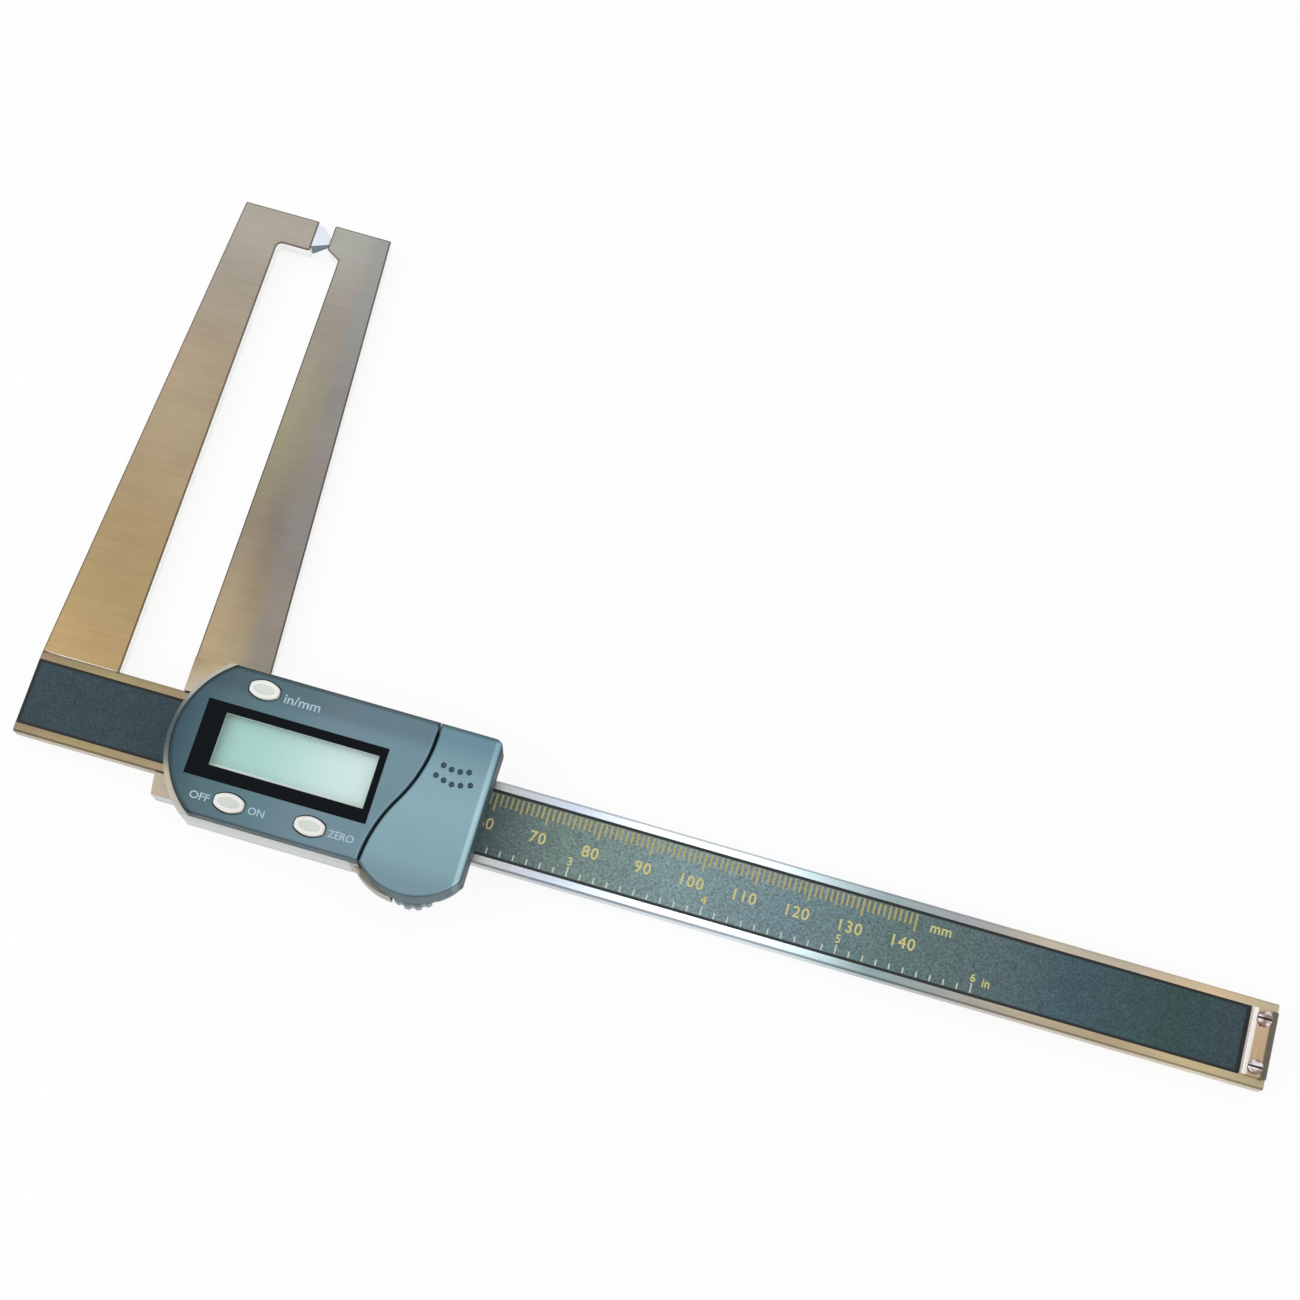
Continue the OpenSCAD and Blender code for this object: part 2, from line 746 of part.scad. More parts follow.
module end_stop_screws() {
    color("silver") in_frame() {
        for (side = [-1, 1]) translate([stop_x, side * stop_pitch / 2, beam_z1]) {
            translate([0, 0, -stop_shank_l]) cylinder(r = stop_shank_r, h = stop_shank_l + stop_h);
            translate([0, 0, stop_h]) difference() {
                cylinder(r = stop_head_r, h = stop_head_h);
                translate([0, 0, stop_head_h]) drive_slot(stop_head_r);
            }
        }
    }
}

module slider_frame() {
    channel = beam_edge + slide_gap;
    color("tan") on_slider() {
        difference() {
            union() {
                slab(back_t, rail_z) frame_outline();
                slab(back_t, rim_z) rim_outline();
                slab(rail_z, wall_z) wall_outline();
            }
            slab(back_t - over, rim_z + over) scallop();
            block([-over, -channel, back_t - over], [slider_l + over, channel, rail_z]);
            slab(rail_z, rim_z + over) board_outline(seat_gap);
            gib_pocket();
            post([roller_x, roller_y], pocket_r, back_t - over, rail_z);
            post([roller_x, roller_y], axle_r + seat_gap, back_t - over, rim_z + over);
            for (at = boss_at) post(at, screw_r + seat_gap, back_t - over, rim_z + over);
            for (x = gib_screw_x) gib_screw_axis(x) cylinder(r = gib_screw_r + seat_gap, h = frame_top);
            tenon(tenon_x, frame_top, seat_gap);
        }
    }
}

// Pocket in the top rail, closed at both ends so that the gib stays in
module gib_pocket() {
    block([gib_x - seat_gap, 0, mid_z - gib_w / 2 - seat_gap],
          [gib_x + gib_l + seat_gap, gib_back() + seat_gap, mid_z + gib_w / 2 + seat_gap]);
}

// Height of the gib's back above the beam's centre line
function gib_back() = beam_edge + slide_gap / 2 + gib_t;

// Puts a gib screw's inner end on the gib, pointing up to the frame's top
module gib_screw_axis(x) {
    translate([x, gib_back(), mid_z]) rotate([-90, 0, 0]) children();
}

module back_plate() {
    color("silver") on_slider() {
        difference() {
            slab(0, back_t) frame_outline();
            slab(-over, back_t + over) scallop();
            post([roller_x, roller_y], axle_r + seat_gap, -over, back_t + over);
            for (at = boss_at) translate([at[0], at[1], 0]) screw_shape(seat_gap);
        }
    }
}

// Countersunk screw from the slider's back, grown by g
module screw_shape(g) {
    translate([0, 0, -g]) cylinder(r1 = screw_head_r + g, r2 = screw_r + g, h = screw_head_h + g);
    cylinder(r = screw_r + g, h = screw_l);
}

module moving_jaw() {
    inner_y = jaw_top - moving_face_h;
    color("tan") on_slider() {
        slab(beam_z0, beam_z1) {
            mirror([1, 0]) blade(frame_top);
            polygon([[0, jaw_top], [-moving_hook_l, jaw_top], [-moving_hook_l, inner_y],
                     [0, inner_y - moving_hook_drop]]);
        }
        tenon(tenon_x, frame_top, 0);
    }
}

module gib() {
    color("goldenrod") on_slider() {
        block([gib_x, gib_back() - gib_t, mid_z - gib_w / 2], [gib_x + gib_l, gib_back(), mid_z + gib_w / 2]);
    }
}

module gib_screws() {
    length = frame_top - gib_screw_sink - gib_back();
    color("dimgray") on_slider() {
        for (x = gib_screw_x) gib_screw_axis(x) difference() {
            cylinder(r = gib_screw_r, h = length);
            translate([0, 0, length]) drive_slot(gib_screw_r);
        }
    }
}

module main_cover() {
    tray_in = wall_t + cap_gap;
    color("darkslategray") on_slider() {
        difference() {
            union() {
                difference() {
                    slab(rim_z, cover_z1) main_outline(0, seam_gap);
                    slab(rim_z - over, front_z0) main_outline(-wall_t, seam_gap + wall_t);
                    slab(rim_z - over, wall_z) difference() {
                        cover_outline(over);
                        cover_outline(-tray_in);
                    }
                }
                slab(rim_z, floor_z1) intersection() {
                    cover_outline(-tray_in);
                    right_of_seam(-seam_gap - wall_t / 2);
                    translate([0, -rail_y]) square([cover_x1, rail_y + cover_top_y]);
                }
                post(battery_at, battery_r + cap_gap + ring_t, rim_z, floor_z1 + ring_h);
                guide(wall_in_top - cap_gap, 1);
                guide(-rail_y + cap_gap, -1);
                for (at = boss_at) post(at, boss_r, board_z1, front_z0 + front_t / 2);
            }
            post(battery_at, battery_r + cap_gap, floor_z1, cover_z1 + over);
            positive_slot();
            negative_slot();
            slab(cover_z1 - bezel_t - seat_gap, cover_z1 + over) bezel_outline(seat_gap);
            slab(front_z0 - over, cover_z1) view(seat_gap);
            for (at = [unit_at, power_at, zero_at]) slab(front_z0 - over, cover_z1 + over) {
                translate(at) oval(button_gap);
            }
            for (at = boss_at) post(at, screw_r + seat_gap, board_z1 - over, screw_l + seat_gap);
        }
    }
}

// Outline of the main cover, grown by g and kept clear of the seam
module main_outline(g, clear) {
    difference() {
        cover_outline(g);
        right_of_seam(-clear);
    }
}

// Upright guide of the battery tray with a tongue along its outer face, on the side given
module guide(face_y, side) {
    inner_y = face_y - side * guide_t;
    block([guide_x0, min(inner_y, face_y), rim_z], [guide_x1, max(inner_y, face_y), floor_z1 + guide_h]);
    tongue_y = face_y + side * tongue_d;
    block([guide_x0, min(inner_y, tongue_y), tongue_z],
          [guide_x1, max(inner_y, tongue_y), tongue_z + tongue_h]);
}

// Groove in the battery cover for a guide's tongue
module groove(face_y, side) {
    deep = face_y + side * (tongue_d + cap_gap);
    block([rail_x0 - over, min(face_y - side * over, deep), tongue_z - cap_gap],
          [cover_x1 - wall_t, max(face_y - side * over, deep), tongue_z + tongue_h + cap_gap]);
}

module bezel() {
    color("black") on_slider() slab(cover_z1 - bezel_t, cover_z1) difference() {
        bezel_outline(0);
        view(0);
    }
}

module display_lens() {
    color("lightcyan") on_slider() {
        slab(front_z0 - lens_t, front_z0) view(lens_lap);
        slab(front_z0, cover_z1 - lens_sink) view(-seat_gap);
    }
}

module lcd_panel() {
    color("darkseagreen") on_slider() slab(lcd_z0, lcd_z0 + lcd_t) view(lens_lap);
}

module zebra_strips() {
    color("pink") on_slider() {
        for (y = [view_y - lens_lap, view_y + window_w + lens_lap - zebra_w]) {
            block([view_x, y, board_z1], [view_x + window_l, y + zebra_w, lcd_z0]);
        }
    }
}

module circuit_board() {
    color("darkgreen") on_slider() difference() {
        slab(rail_z, board_z1) board_outline(0);
        for (at = boss_at) post(at, screw_r + seat_gap, rail_z - over, board_z1 + over);
    }
}

module controller_chip() {
    color("black") on_slider() translate([chip_at[0], chip_at[1], board_z1]) dome(chip_r, chip_h);
}

// Low dome: the cap of a ball, with its flat side at z = 0
module dome(r, h) {
    ball_r = (r * r + h * h) / (2 * h);
    intersection() {
        translate([0, 0, h - ball_r]) sphere(r = ball_r);
        cylinder(r = r + over, h = h + over);
    }
}

module switch_domes() {
    color("silver") on_slider() {
        for (at = [unit_at, power_at, zero_at]) translate([at[0], at[1], board_z1]) dome(dome_r, dome_h);
    }
}

module battery() {
    color("silver") on_slider() {
        post(battery_at, battery_r - battery_step, battery_z0, battery_z0 + battery_step);
        post(battery_at, battery_r, battery_z0 + battery_step, battery_z0 + battery_h);
    }
}

module positive_contact() {
    half = contact_w / 2;
    color("gold") on_slider() translate([battery_at[0], positive_y, 0]) {
        block([-half, 0, board_z1], [half, contact_t, floor_z1 + ring_h]);
        block([-half, 0, board_z1], [half, half, rim_z - seat_gap]);
    }
}

// Slot in the ring and floor for the positive contact
module positive_slot() {
    half = contact_w / 2 + cap_gap;
    translate([battery_at[0], positive_y, 0]) {
        block([-half, -over, rim_z - over], [half, contact_t + cap_gap, floor_z1 + ring_h + over]);
    }
}

module negative_contact() {
    half = contact_w / 2;
    color("gold") on_slider() translate([negative_x, battery_at[1], 0]) {
        block([0, -half, floor_z1], [battery_r, half, floor_z1 + contact_t]);
        block([0, -half, board_z1], [contact_t, half, floor_z1 + contact_t]);
    }
}

// Slot in the floor for the negative contact's leg
module negative_slot() {
    half = contact_w / 2 + cap_gap;
    translate([negative_x, battery_at[1], 0]) {
        block([-cap_gap, -half, rim_z - over], [contact_t + cap_gap, half, floor_z1 + over]);
    }
}

module cover_screws() {
    color("silver") on_slider() {
        for (at = boss_at) translate([at[0], at[1], 0]) difference() {
            screw_shape(0);
            drive_slot(screw_head_r);
        }
    }
}

module roller_axle() {
    color("silver") on_slider() post([roller_x, roller_y], axle_r, seat_gap, rim_z - seat_gap);
}

module thumb_roller() {
    color("gray") on_slider() translate([roller_x, roller_y, mid_z]) {
        linear_extrude(roller_t, center = true) difference() {
            circle(r = roller_r);
            circle(r = axle_r + axle_gap);
            for (i = [0 : roller_teeth - 1]) {
                rotate((i + 0.5) * 360 / roller_teeth) translate([roller_r + groove_out, 0]) {
                    circle(r = groove_r);
                }
            }
        }
    }
}

// Push button with its flange behind the cover and its stem on the snap dome
module push_button(at) {
    flange_z1 = front_z0 - seat_gap;
    color("white") on_slider() translate([at[0], at[1], 0]) {
        slab(flange_z1 - flange_t, cover_z1 + button_proud) oval(0);
        slab(flange_z1 - flange_t, flange_z1) stadium(button_l + 2 * flange_lap, button_w - 2 * button_gap);
        post([0, 0], stem_r, board_z1 + dome_h + seat_gap, flange_z1);
    }
}

module unit_button() {
    push_button(unit_at);
}

module power_button() {
    push_button(power_at);
}

module zero_button() {
    push_button(zero_at);
}

module battery_cover() {
    color("slategray") on_slider() {
        difference() {
            union() {
                difference() {
                    slab(cap_z0, cover_z1) battery_outline(0);
                    slab(cap_z0 - over, front_z0) cover_outline(-wall_t);
                }
                block([rail_x0, -rail_y - rail_t, floor_z1 + cap_gap],
                      [guide_x1, -rail_y, front_z0 + front_t / 2]);
            }
            groove(wall_in_top, 1);
            groove(-rail_y, -1);
            for (spot = dimple_spots) {
                post(dimple_at + spot, dimple_r, cover_z1 - dimple_d, cover_z1 + over);
            }
        }
    }
}

// Outline of the battery cover, grown by g
module battery_outline(g) {
    intersection() {
        cover_outline(g);
        right_of_seam(0);
    }
}

beam();
fixed_jaw();
contact_tip();
scale_grating();
scale_label();
end_stop();
end_stop_screws();
slider_frame();
back_plate();
moving_jaw();
gib();
gib_screws();
main_cover();
bezel();
display_lens();
lcd_panel();
zebra_strips();
circuit_board();
controller_chip();
switch_domes();
battery();
positive_contact();
negative_contact();
cover_screws();
roller_axle();
thumb_roller();
unit_button();
power_button();
zero_button();
battery_cover();
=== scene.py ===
import json
import math

import bmesh
import bpy
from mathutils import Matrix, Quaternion, Vector


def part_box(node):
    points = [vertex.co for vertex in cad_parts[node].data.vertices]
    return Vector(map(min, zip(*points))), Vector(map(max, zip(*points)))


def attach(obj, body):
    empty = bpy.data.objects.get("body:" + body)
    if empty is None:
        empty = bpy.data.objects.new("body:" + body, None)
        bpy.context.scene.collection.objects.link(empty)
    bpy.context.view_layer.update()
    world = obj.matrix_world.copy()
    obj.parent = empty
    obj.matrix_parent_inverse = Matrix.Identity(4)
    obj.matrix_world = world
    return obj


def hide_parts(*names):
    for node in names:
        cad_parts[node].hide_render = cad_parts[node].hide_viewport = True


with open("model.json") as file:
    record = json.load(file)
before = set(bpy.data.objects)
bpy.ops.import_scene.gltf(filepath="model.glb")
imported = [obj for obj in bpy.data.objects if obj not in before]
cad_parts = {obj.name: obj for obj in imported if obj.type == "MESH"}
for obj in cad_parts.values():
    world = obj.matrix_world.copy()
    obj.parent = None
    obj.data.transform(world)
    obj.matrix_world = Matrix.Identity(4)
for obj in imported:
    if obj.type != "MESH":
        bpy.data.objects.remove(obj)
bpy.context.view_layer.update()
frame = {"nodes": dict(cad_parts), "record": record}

nodes = frame["nodes"]
bodies = frame["record"]["behaviour"]["bodies"]
body_of = {node: body for body, members in bodies.items() for node in members}
slot_of = {part["node"]: part["material_slot"] for part in frame["record"]["subparts"]}
MM = 0.001

# The moving jaw's straight edge, its width at Y 0 and how much it narrows with each mm upward, in mm
JAW_EDGE_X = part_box("slider_frame")[0].x / MM
JAW_W = 12.66
JAW_LEAN = 0.0629

# The radius of the main cover's nose and how far its centre lies below the beam's line, in mm
NOSE_R = 17.6
NOSE_DROP = 0.75

# How far the display film runs under the edge of its window, in mm
FILM_LAP = 1.25

# Where the moving jaw meets the frame, in mm
JAW_FOOT_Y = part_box("slider_frame")[1].y / MM

# The scale's zero mark, the beam's centre line and the beam's ends to both sides, in mm
ZERO_X = -89.23
LINE_Y = (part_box("beam")[0].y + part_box("beam")[1].y) / 2 / MM
BEAM_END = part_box("beam")[1].x / MM


# Colour and shader helpers

def tone(red, green, blue):
    """A colour written as screen values from 0 to 255, as the shader takes it."""
    def one(value):
        part = value / 255
        return part / 12.92 if part <= 0.04045 else ((part + 0.055) / 1.055) ** 2.4
    return (one(red), one(green), one(blue), 1.0)


class Paint:
    """One procedural material: a Principled shader and the nodes that feed it."""

    def __init__(self, name, **sockets):
        self.material = bpy.data.materials.new(name)
        self.material.use_nodes = True
        self.tree = self.material.node_tree
        self.shader = self.tree.nodes["Principled BSDF"]
        for key, value in sockets.items():
            self.shader.inputs[key.replace("_", " ")].default_value = value

    def add(self, kind, **settings):
        node = self.tree.nodes.new("ShaderNode" + kind)
        for key, value in settings.items():
            setattr(node, key, value)
        return node

    def feed(self, socket, source):
        """Links a node's output to a socket, or sets a plain value there."""
        if isinstance(source, bpy.types.NodeSocket):
            self.tree.links.new(source, socket)
        else:
            socket.default_value = source

    def point(self, size):
        """The place on the object, counted in grains of that size in mm along X, Y and Z."""
        where = self.add("TexCoord")
        mapping = self.add("Mapping")
        mapping.inputs["Scale"].default_value = [1 / (s * MM) for s in size]
        self.feed(mapping.inputs["Vector"], where.outputs["Object"])
        return mapping.outputs["Vector"]

    def noise(self, size, detail=3.0, rough=0.55):
        node = self.add("TexNoise")
        self.feed(node.inputs["Vector"], self.point(size))
        node.inputs["Scale"].default_value = 1.0
        node.inputs["Detail"].default_value = detail
        node.inputs["Roughness"].default_value = rough
        return node.outputs["Fac"]

    def cells(self, size):
        node = self.add("TexVoronoi")
        self.feed(node.inputs["Vector"], self.point(size))
        node.inputs["Scale"].default_value = 1.0
        return node.outputs["Distance"]

    def axis(self, letter):
        """One coordinate of the place on the object, in mm."""
        split = self.add("SeparateXYZ")
        self.feed(split.inputs[0], self.point((1, 1, 1)))
        return split.outputs[letter]

    def facing(self, letter, kind="True Normal"):
        """How far a face looks along one axis, from -1 to 1."""
        split = self.add("SeparateXYZ")
        self.feed(split.inputs[0], self.add("NewGeometry").outputs[kind])
        return split.outputs[letter]

    def span(self, value, low, high, to_low=0.0, to_high=1.0, smooth=True):
        """Carries a value from one range to another and stops at its ends."""
        node = self.add("MapRange", interpolation_type="SMOOTHSTEP" if smooth else "LINEAR")
        for key, source in zip(("Value", "From Min", "From Max", "To Min", "To Max"),
                               (value, low, high, to_low, to_high)):
            self.feed(node.inputs[key], source)
        return node.outputs["Result"]

    def math(self, operation, first, second=0.0):
        node = self.add("Math", operation=operation)
        self.feed(node.inputs[0], first)
        self.feed(node.inputs[1], second)
        return node.outputs[0]

    def ramp(self, factor, *stops):
        """Colours along a factor; a stop is its place from 0 to 1 and its colour."""
        node = self.add("ValToRGB")
        ramp = node.color_ramp
        while len(ramp.elements) < len(stops):
            ramp.elements.new(0.5)
        for element, (place, colour) in zip(ramp.elements, stops):
            element.position = place
            element.color = colour
        self.feed(node.inputs["Fac"], factor)
        return node.outputs["Color"]

    def mix(self, factor, first, second, blend="MIX"):
        """Blends two colours; 6, 7 and 2 are the node's colour sockets."""
        node = self.add("Mix", data_type="RGBA", blend_type=blend)
        self.feed(node.inputs[0], factor)
        self.feed(node.inputs[6], first)
        self.feed(node.inputs[7], second)
        return node.outputs[2]

    def shade(self, colour, factor, dark, light):
        """Multiplies a colour by a grey that runs from dark to light with the factor."""
        grey = self.ramp(factor, (0.0, (dark, dark, dark, 1)), (1.0, (light, light, light, 1)))
        return self.mix(1.0, colour, grey, "MULTIPLY")

    def bump(self, height, strength, distance):
        node = self.add("Bump")
        node.inputs["Strength"].default_value = strength
        node.inputs["Distance"].default_value = distance * MM
        self.feed(node.inputs["Height"], height)
        return node.outputs["Normal"]

    def finish(self, colour, roughness, normal=None):
        self.feed(self.shader.inputs["Base Color"], colour)
        self.feed(self.shader.inputs["Roughness"], roughness)
        if normal:
            self.feed(self.shader.inputs["Normal"], normal)
        return self.material


def brushed(name, tint, scratch, rough=(0.3, 0.46), metallic=0.92, depth=0.004):
    """Ground steel; tint makes the colour, scratch is a grain's size in mm along X, Y and Z."""
    paint = Paint(name, Metallic=metallic)
    colour = tint(paint)
    fine = paint.noise(scratch, 4.0, 0.65)
    wide = paint.noise([4 * s for s in scratch], 2.0)
    cloud = paint.noise((9, 9, 9), 3.0)
    colour = paint.shade(colour, fine, 0.87, 1.11)
    colour = paint.shade(colour, wide, 0.92, 1.07)
    colour = paint.shade(colour, cloud, 0.92, 1.07)
    roughness = paint.span(paint.math("ADD", fine, cloud), 0.6, 1.4, *rough)
    return paint.finish(colour, roughness, paint.bump(fine, 0.35, depth))


def moulded(name, tint, grain=0.22, rough=(0.36, 0.5), depth=0.012, **sockets):
    """Moulded plastic with a fine spark-eroded texture and a little handling shine."""
    paint = Paint(name, **sockets)
    colour = tint(paint)
    fine = paint.noise((grain, grain, grain), 3.0, 0.6)
    cloud = paint.noise((7, 7, 7), 3.0)
    colour = paint.shade(colour, fine, 0.88, 1.1)
    colour = paint.shade(colour, cloud, 0.94, 1.05)
    roughness = paint.span(cloud, 0.3, 0.7, *rough)
    return paint.finish(colour, roughness, paint.bump(fine, 0.5, depth))


def plain(*colour):
    """A tint that is one written colour, for materials whose detail comes from their grain."""
    def tint(paint):
        cloud = paint.noise((12, 12, 12), 2.0)
        return paint.ramp(cloud, (0.3, tone(*[0.96 * c for c in colour])), (0.7, tone(*colour)))
    return tint


# Materials

def rows(paint, letter, low, high, *stops):
    """Colours along one axis between two places in mm; a stop is its place in mm and its screen colour."""
    along = paint.span(paint.axis(letter), low, high, smooth=False)
    return paint.ramp(along, *[((at - low) / (high - low), tone(*colour)) for at, colour in stops])


def blade_edges(paint, face):
    """A blade's eased edges get painted shade beside its face, and its sides a painted highlight."""
    up = paint.math("ABSOLUTE", paint.facing("Z"))
    # painted shade: the eased edges are darkened by the way they face
    dark = paint.mix(1.0, face, (0.42, 0.4, 0.41, 1), "MULTIPLY")
    eased_painted_shade = paint.mix(paint.span(up, 0.94, 0.98), dark, face)
    # painted reflection: the sides are nearly white, as if mirroring the white floor
    return paint.mix(paint.span(up, 0.1, 0.2), tone(248, 248, 246), eased_painted_shade)


def fixed_blade_tint(paint):
    """Painted reflection: bronze at the foot and greyer towards the hook."""
    base = rows(
        paint, "Y", -40.0, 64.0,
        (-36, (176, 149, 106)), (-20, (163, 142, 103)), (-5, (164, 143, 109)), (10, (171, 153, 124)),
        (30, (170, 154, 131)), (45, (167, 157, 143)), (60, (175, 168, 156)),
    )
    return blade_edges(paint, paint.shade(base, paint.noise((14, 5, 9), 3.0), 0.9, 1.1))


def moving_blade_tint(paint):
    """Painted reflection: bronze beside the straight edge and grey beside the other, with a ragged border
    between them.
    """
    low, high = -32.0, 64.0
    left = rows(
        paint, "Y", low, high,
        (-25, (174, 152, 120)), (-15, (162, 146, 119)), (0, (142, 131, 113)), (15, (153, 147, 123)),
        (30, (158, 152, 134)), (45, (156, 149, 139)), (58, (173, 172, 162)),
    )
    middle = rows(
        paint, "Y", low, high,
        (-25, (165, 150, 122)), (-15, (147, 132, 109)), (0, (128, 120, 111)), (15, (149, 142, 124)),
        (30, (152, 145, 128)), (45, (158, 149, 139)), (58, (170, 168, 162)),
    )
    right = rows(
        paint, "Y", low, high,
        (-25, (141, 134, 123)), (-15, (139, 130, 121)), (0, (134, 129, 125)), (15, (145, 138, 132)),
        (30, (142, 139, 134)), (45, (149, 150, 145)), (58, (158, 159, 154)),
    )
    width = paint.math("MULTIPLY_ADD", paint.axis("Y"), -JAW_LEAN)
    width.node.inputs[2].default_value = JAW_W
    ragged = paint.math("MULTIPLY_ADD", paint.noise((6, 1.5, 5), 4.0, 0.65), 2.4)
    paint.feed(ragged.node.inputs[2], paint.math("SUBTRACT", paint.axis("X"), JAW_EDGE_X + 1.2))
    across = paint.math("DIVIDE", ragged, width)
    inner = paint.mix(paint.span(across, 0.1, 0.5), left, middle)
    return blade_edges(paint, paint.mix(paint.span(across, 0.45, 0.8), inner, right))


def beam_tint(paint):
    """Painted reflections: the margins above and below the strip mirror the room a little differently right
    of the slider.
    """
    left_part = (
        (-118, (146, 128, 104)), (-104, (164, 150, 112)), (-92, (160, 143, 114)), (-30, (176, 178, 176)),
        (-15, (178, 188, 202)),
    )
    upper = rows(
        paint, "X", -BEAM_END, BEAM_END, *left_part,
        (0, (200, 208, 214)), (20, (198, 208, 214)), (32, (174, 192, 198)),
        (45, (138, 154, 155)), (60, (158, 161, 165)), (75, (191, 180, 164)), (90, (185, 174, 156)),
        (105, (209, 187, 152)), (118, (186, 174, 146)),
    )
    lower = rows(
        paint, "X", -BEAM_END, BEAM_END, *left_part,
        (0, (202, 212, 218)), (20, (210, 222, 230)), (32, (192, 212, 218)),
        (45, (132, 154, 155)), (60, (156, 157, 151)), (75, (181, 168, 144)), (90, (176, 157, 130)),
        (105, (198, 181, 141)), (118, (176, 164, 132)),
    )
    return paint.mix(paint.span(paint.axis("Y"), LINE_Y - 1.0, LINE_Y + 1.0), lower, upper)


def strip_material():
    """A dark speckled film with a painted reflection as a pale haze right of the slider, and painted shade
    as dark lines along its edges.
    """
    paint = Paint("speckled_strip", Specular_IOR_Level=0.3)
    fleck = paint.noise((0.35, 0.35, 0.35), 4.0, 0.7)
    cloud = paint.noise((3, 3, 3), 3.0)
    # painted reflection: a pale haze right of the slider that stands in for a lamp's glare
    painted_haze = rows(
        paint, "X", -BEAM_END, BEAM_END,
        (-118, (40, 62, 70)), (-40, (42, 64, 72)), (-14, (106, 127, 122)), (7, (119, 144, 147)),
        (27, (105, 130, 137)), (48, (89, 112, 110)), (68, (78, 98, 101)), (80, (57, 83, 92)),
        (100, (42, 71, 70)), (112, (46, 66, 75)),
    )
    base = paint.shade(painted_haze, paint.span(fleck, 0.3, 0.72), 0.55, 1.5)
    base = paint.shade(base, cloud, 0.86, 1.12)
    dots = paint.span(paint.cells((0.55, 0.55, 0.55)), 0.1, 0.24, 1.0, 0.0)
    base = paint.shade(base, dots, 1.0, 1.5)
    low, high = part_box("scale_label")
    half_l, half_w = (high.x - low.x) / 2 / MM, (high.y - low.y) / 2 / MM
    mid_x = (low.x + high.x) / 2 / MM
    side = paint.math("ABSOLUTE", paint.math("SUBTRACT", paint.axis("Y"), LINE_Y))
    ends = paint.math("ABSOLUTE", paint.math("SUBTRACT", paint.axis("X"), mid_x))
    # painted shade: dark lines where the film meets the edges of its recess
    edge = paint.math("MAXIMUM", paint.span(side, half_w - 0.53, half_w - 0.39),
                      paint.span(ends, half_l - 0.78, half_l - 0.48))
    base = paint.mix(edge, base, tone(26, 28, 31))
    return paint.finish(base, paint.span(cloud, 0.3, 0.7, 0.3, 0.42), paint.bump(fleck, 0.4, 0.006))


def moulding_edges(paint, face):
    """Painted shade darkens a moulding's rounded rim and walls, most at the left and the back, and a
    painted highlight brightens the upper part of the rim where it looks to the right."""
    up = paint.facing("Z", "Normal")
    right = paint.facing("X", "Normal")
    back = paint.facing("Y", "Normal")
    # painted shade: how dark the walls and rim get, by which way they face
    depth = paint.math("MINIMUM", paint.span(right, -0.6, 0.0, 0.32, 0.5),
                       paint.span(back, 0.0, 0.6, 0.5, 0.4))
    dark = paint.span(up, 0.62, 0.95, depth, 1.0)
    # painted highlight on the upper part of the rim that looks to the right
    bright = paint.math("MULTIPLY", paint.span(right, 0.12, 0.4, 0.0, 1.45), paint.span(up, 0.55, 0.75))
    paint.feed(paint.shader.inputs["Specular IOR Level"], paint.span(up, 0.2, 0.8, 0.05, 0.3))
    return paint.mix(1.0, face, paint.math("MAXIMUM", dark, bright), "MULTIPLY")


def slate_tint(paint):
    """Painted shade: darker towards the nose and the back edge, with a dark line along each."""
    low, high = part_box("main_cover")
    left, back = low.x / MM, high.y / MM
    # painted shade: the face darkens towards the nose
    face = rows(
        paint, "X", -90.0, -46.0,
        (-87, (48, 78, 94)), (-80, (77, 105, 112)), (-70, (89, 120, 129)), (-60, (108, 133, 145)),
        (-50, (108, 138, 150)),
    )
    x, y = paint.axis("X"), paint.axis("Y")
    # painted shade towards the back edge, then a dark line along it
    face = paint.shade(face, paint.span(y, back - 6.2, back - 3.6), 1.0, 0.76)
    face = paint.shade(face, paint.span(y, back - 1.0, back - 0.6), 1.0, 0.62)
    across = paint.math("SUBTRACT", x, left + NOSE_R)
    along = paint.math("SUBTRACT", y, LINE_Y - NOSE_DROP)
    from_mid = paint.math("SQRT", paint.math("ADD", paint.math("MULTIPLY", across, across),
                                             paint.math("MULTIPLY", along, along)))
    # painted shade: a dark line inside the nose's rounded edge
    nose_painted_shade = paint.math("MULTIPLY", paint.span(from_mid, NOSE_R - 1.05, NOSE_R - 0.5),
                      paint.span(across, -8.0, -6.0, 1.0, 0.0))
    return moulding_edges(paint, paint.shade(face, nose_painted_shade, 1.0, 0.42))


def light_slate_tint(paint):
    """Painted light: a dark line of painted shade along the back edge, a painted highlight inside the right
    edge and painted shade on the right wall.
    """
    right, back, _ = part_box("battery_cover")[1] / MM
    face = rows(
        paint, "Y", -62.0, -30.0,
        (-60, (115, 144, 154)), (-56, (127, 161, 170)), (-45, (135, 169, 180)), (-39, (128, 162, 174)),
        (-33, (102, 138, 151)),
    )
    x = paint.axis("X")
    face = paint.shade(face, paint.span(paint.axis("Y"), back - 1.0, back - 0.6), 1.0, 0.62)
    # painted highlight: a bright band inside the right edge
    painted_highlight_band = paint.math("MULTIPLY", paint.span(x, right - 1.5, right - 1.1),
                       paint.span(x, right - 0.7, right - 0.4, 1.0, 0.0))
    face = paint.mix(painted_highlight_band, face, paint.mix(1.0, face, (1.7, 1.55, 1.5, 1), "MULTIPLY"))
    # painted shade on the right wall
    wall_painted_shade = paint.span(x, right - 0.5, right - 0.25)
    return moulding_edges(paint, paint.shade(face, wall_painted_shade, 1.0, 0.5))


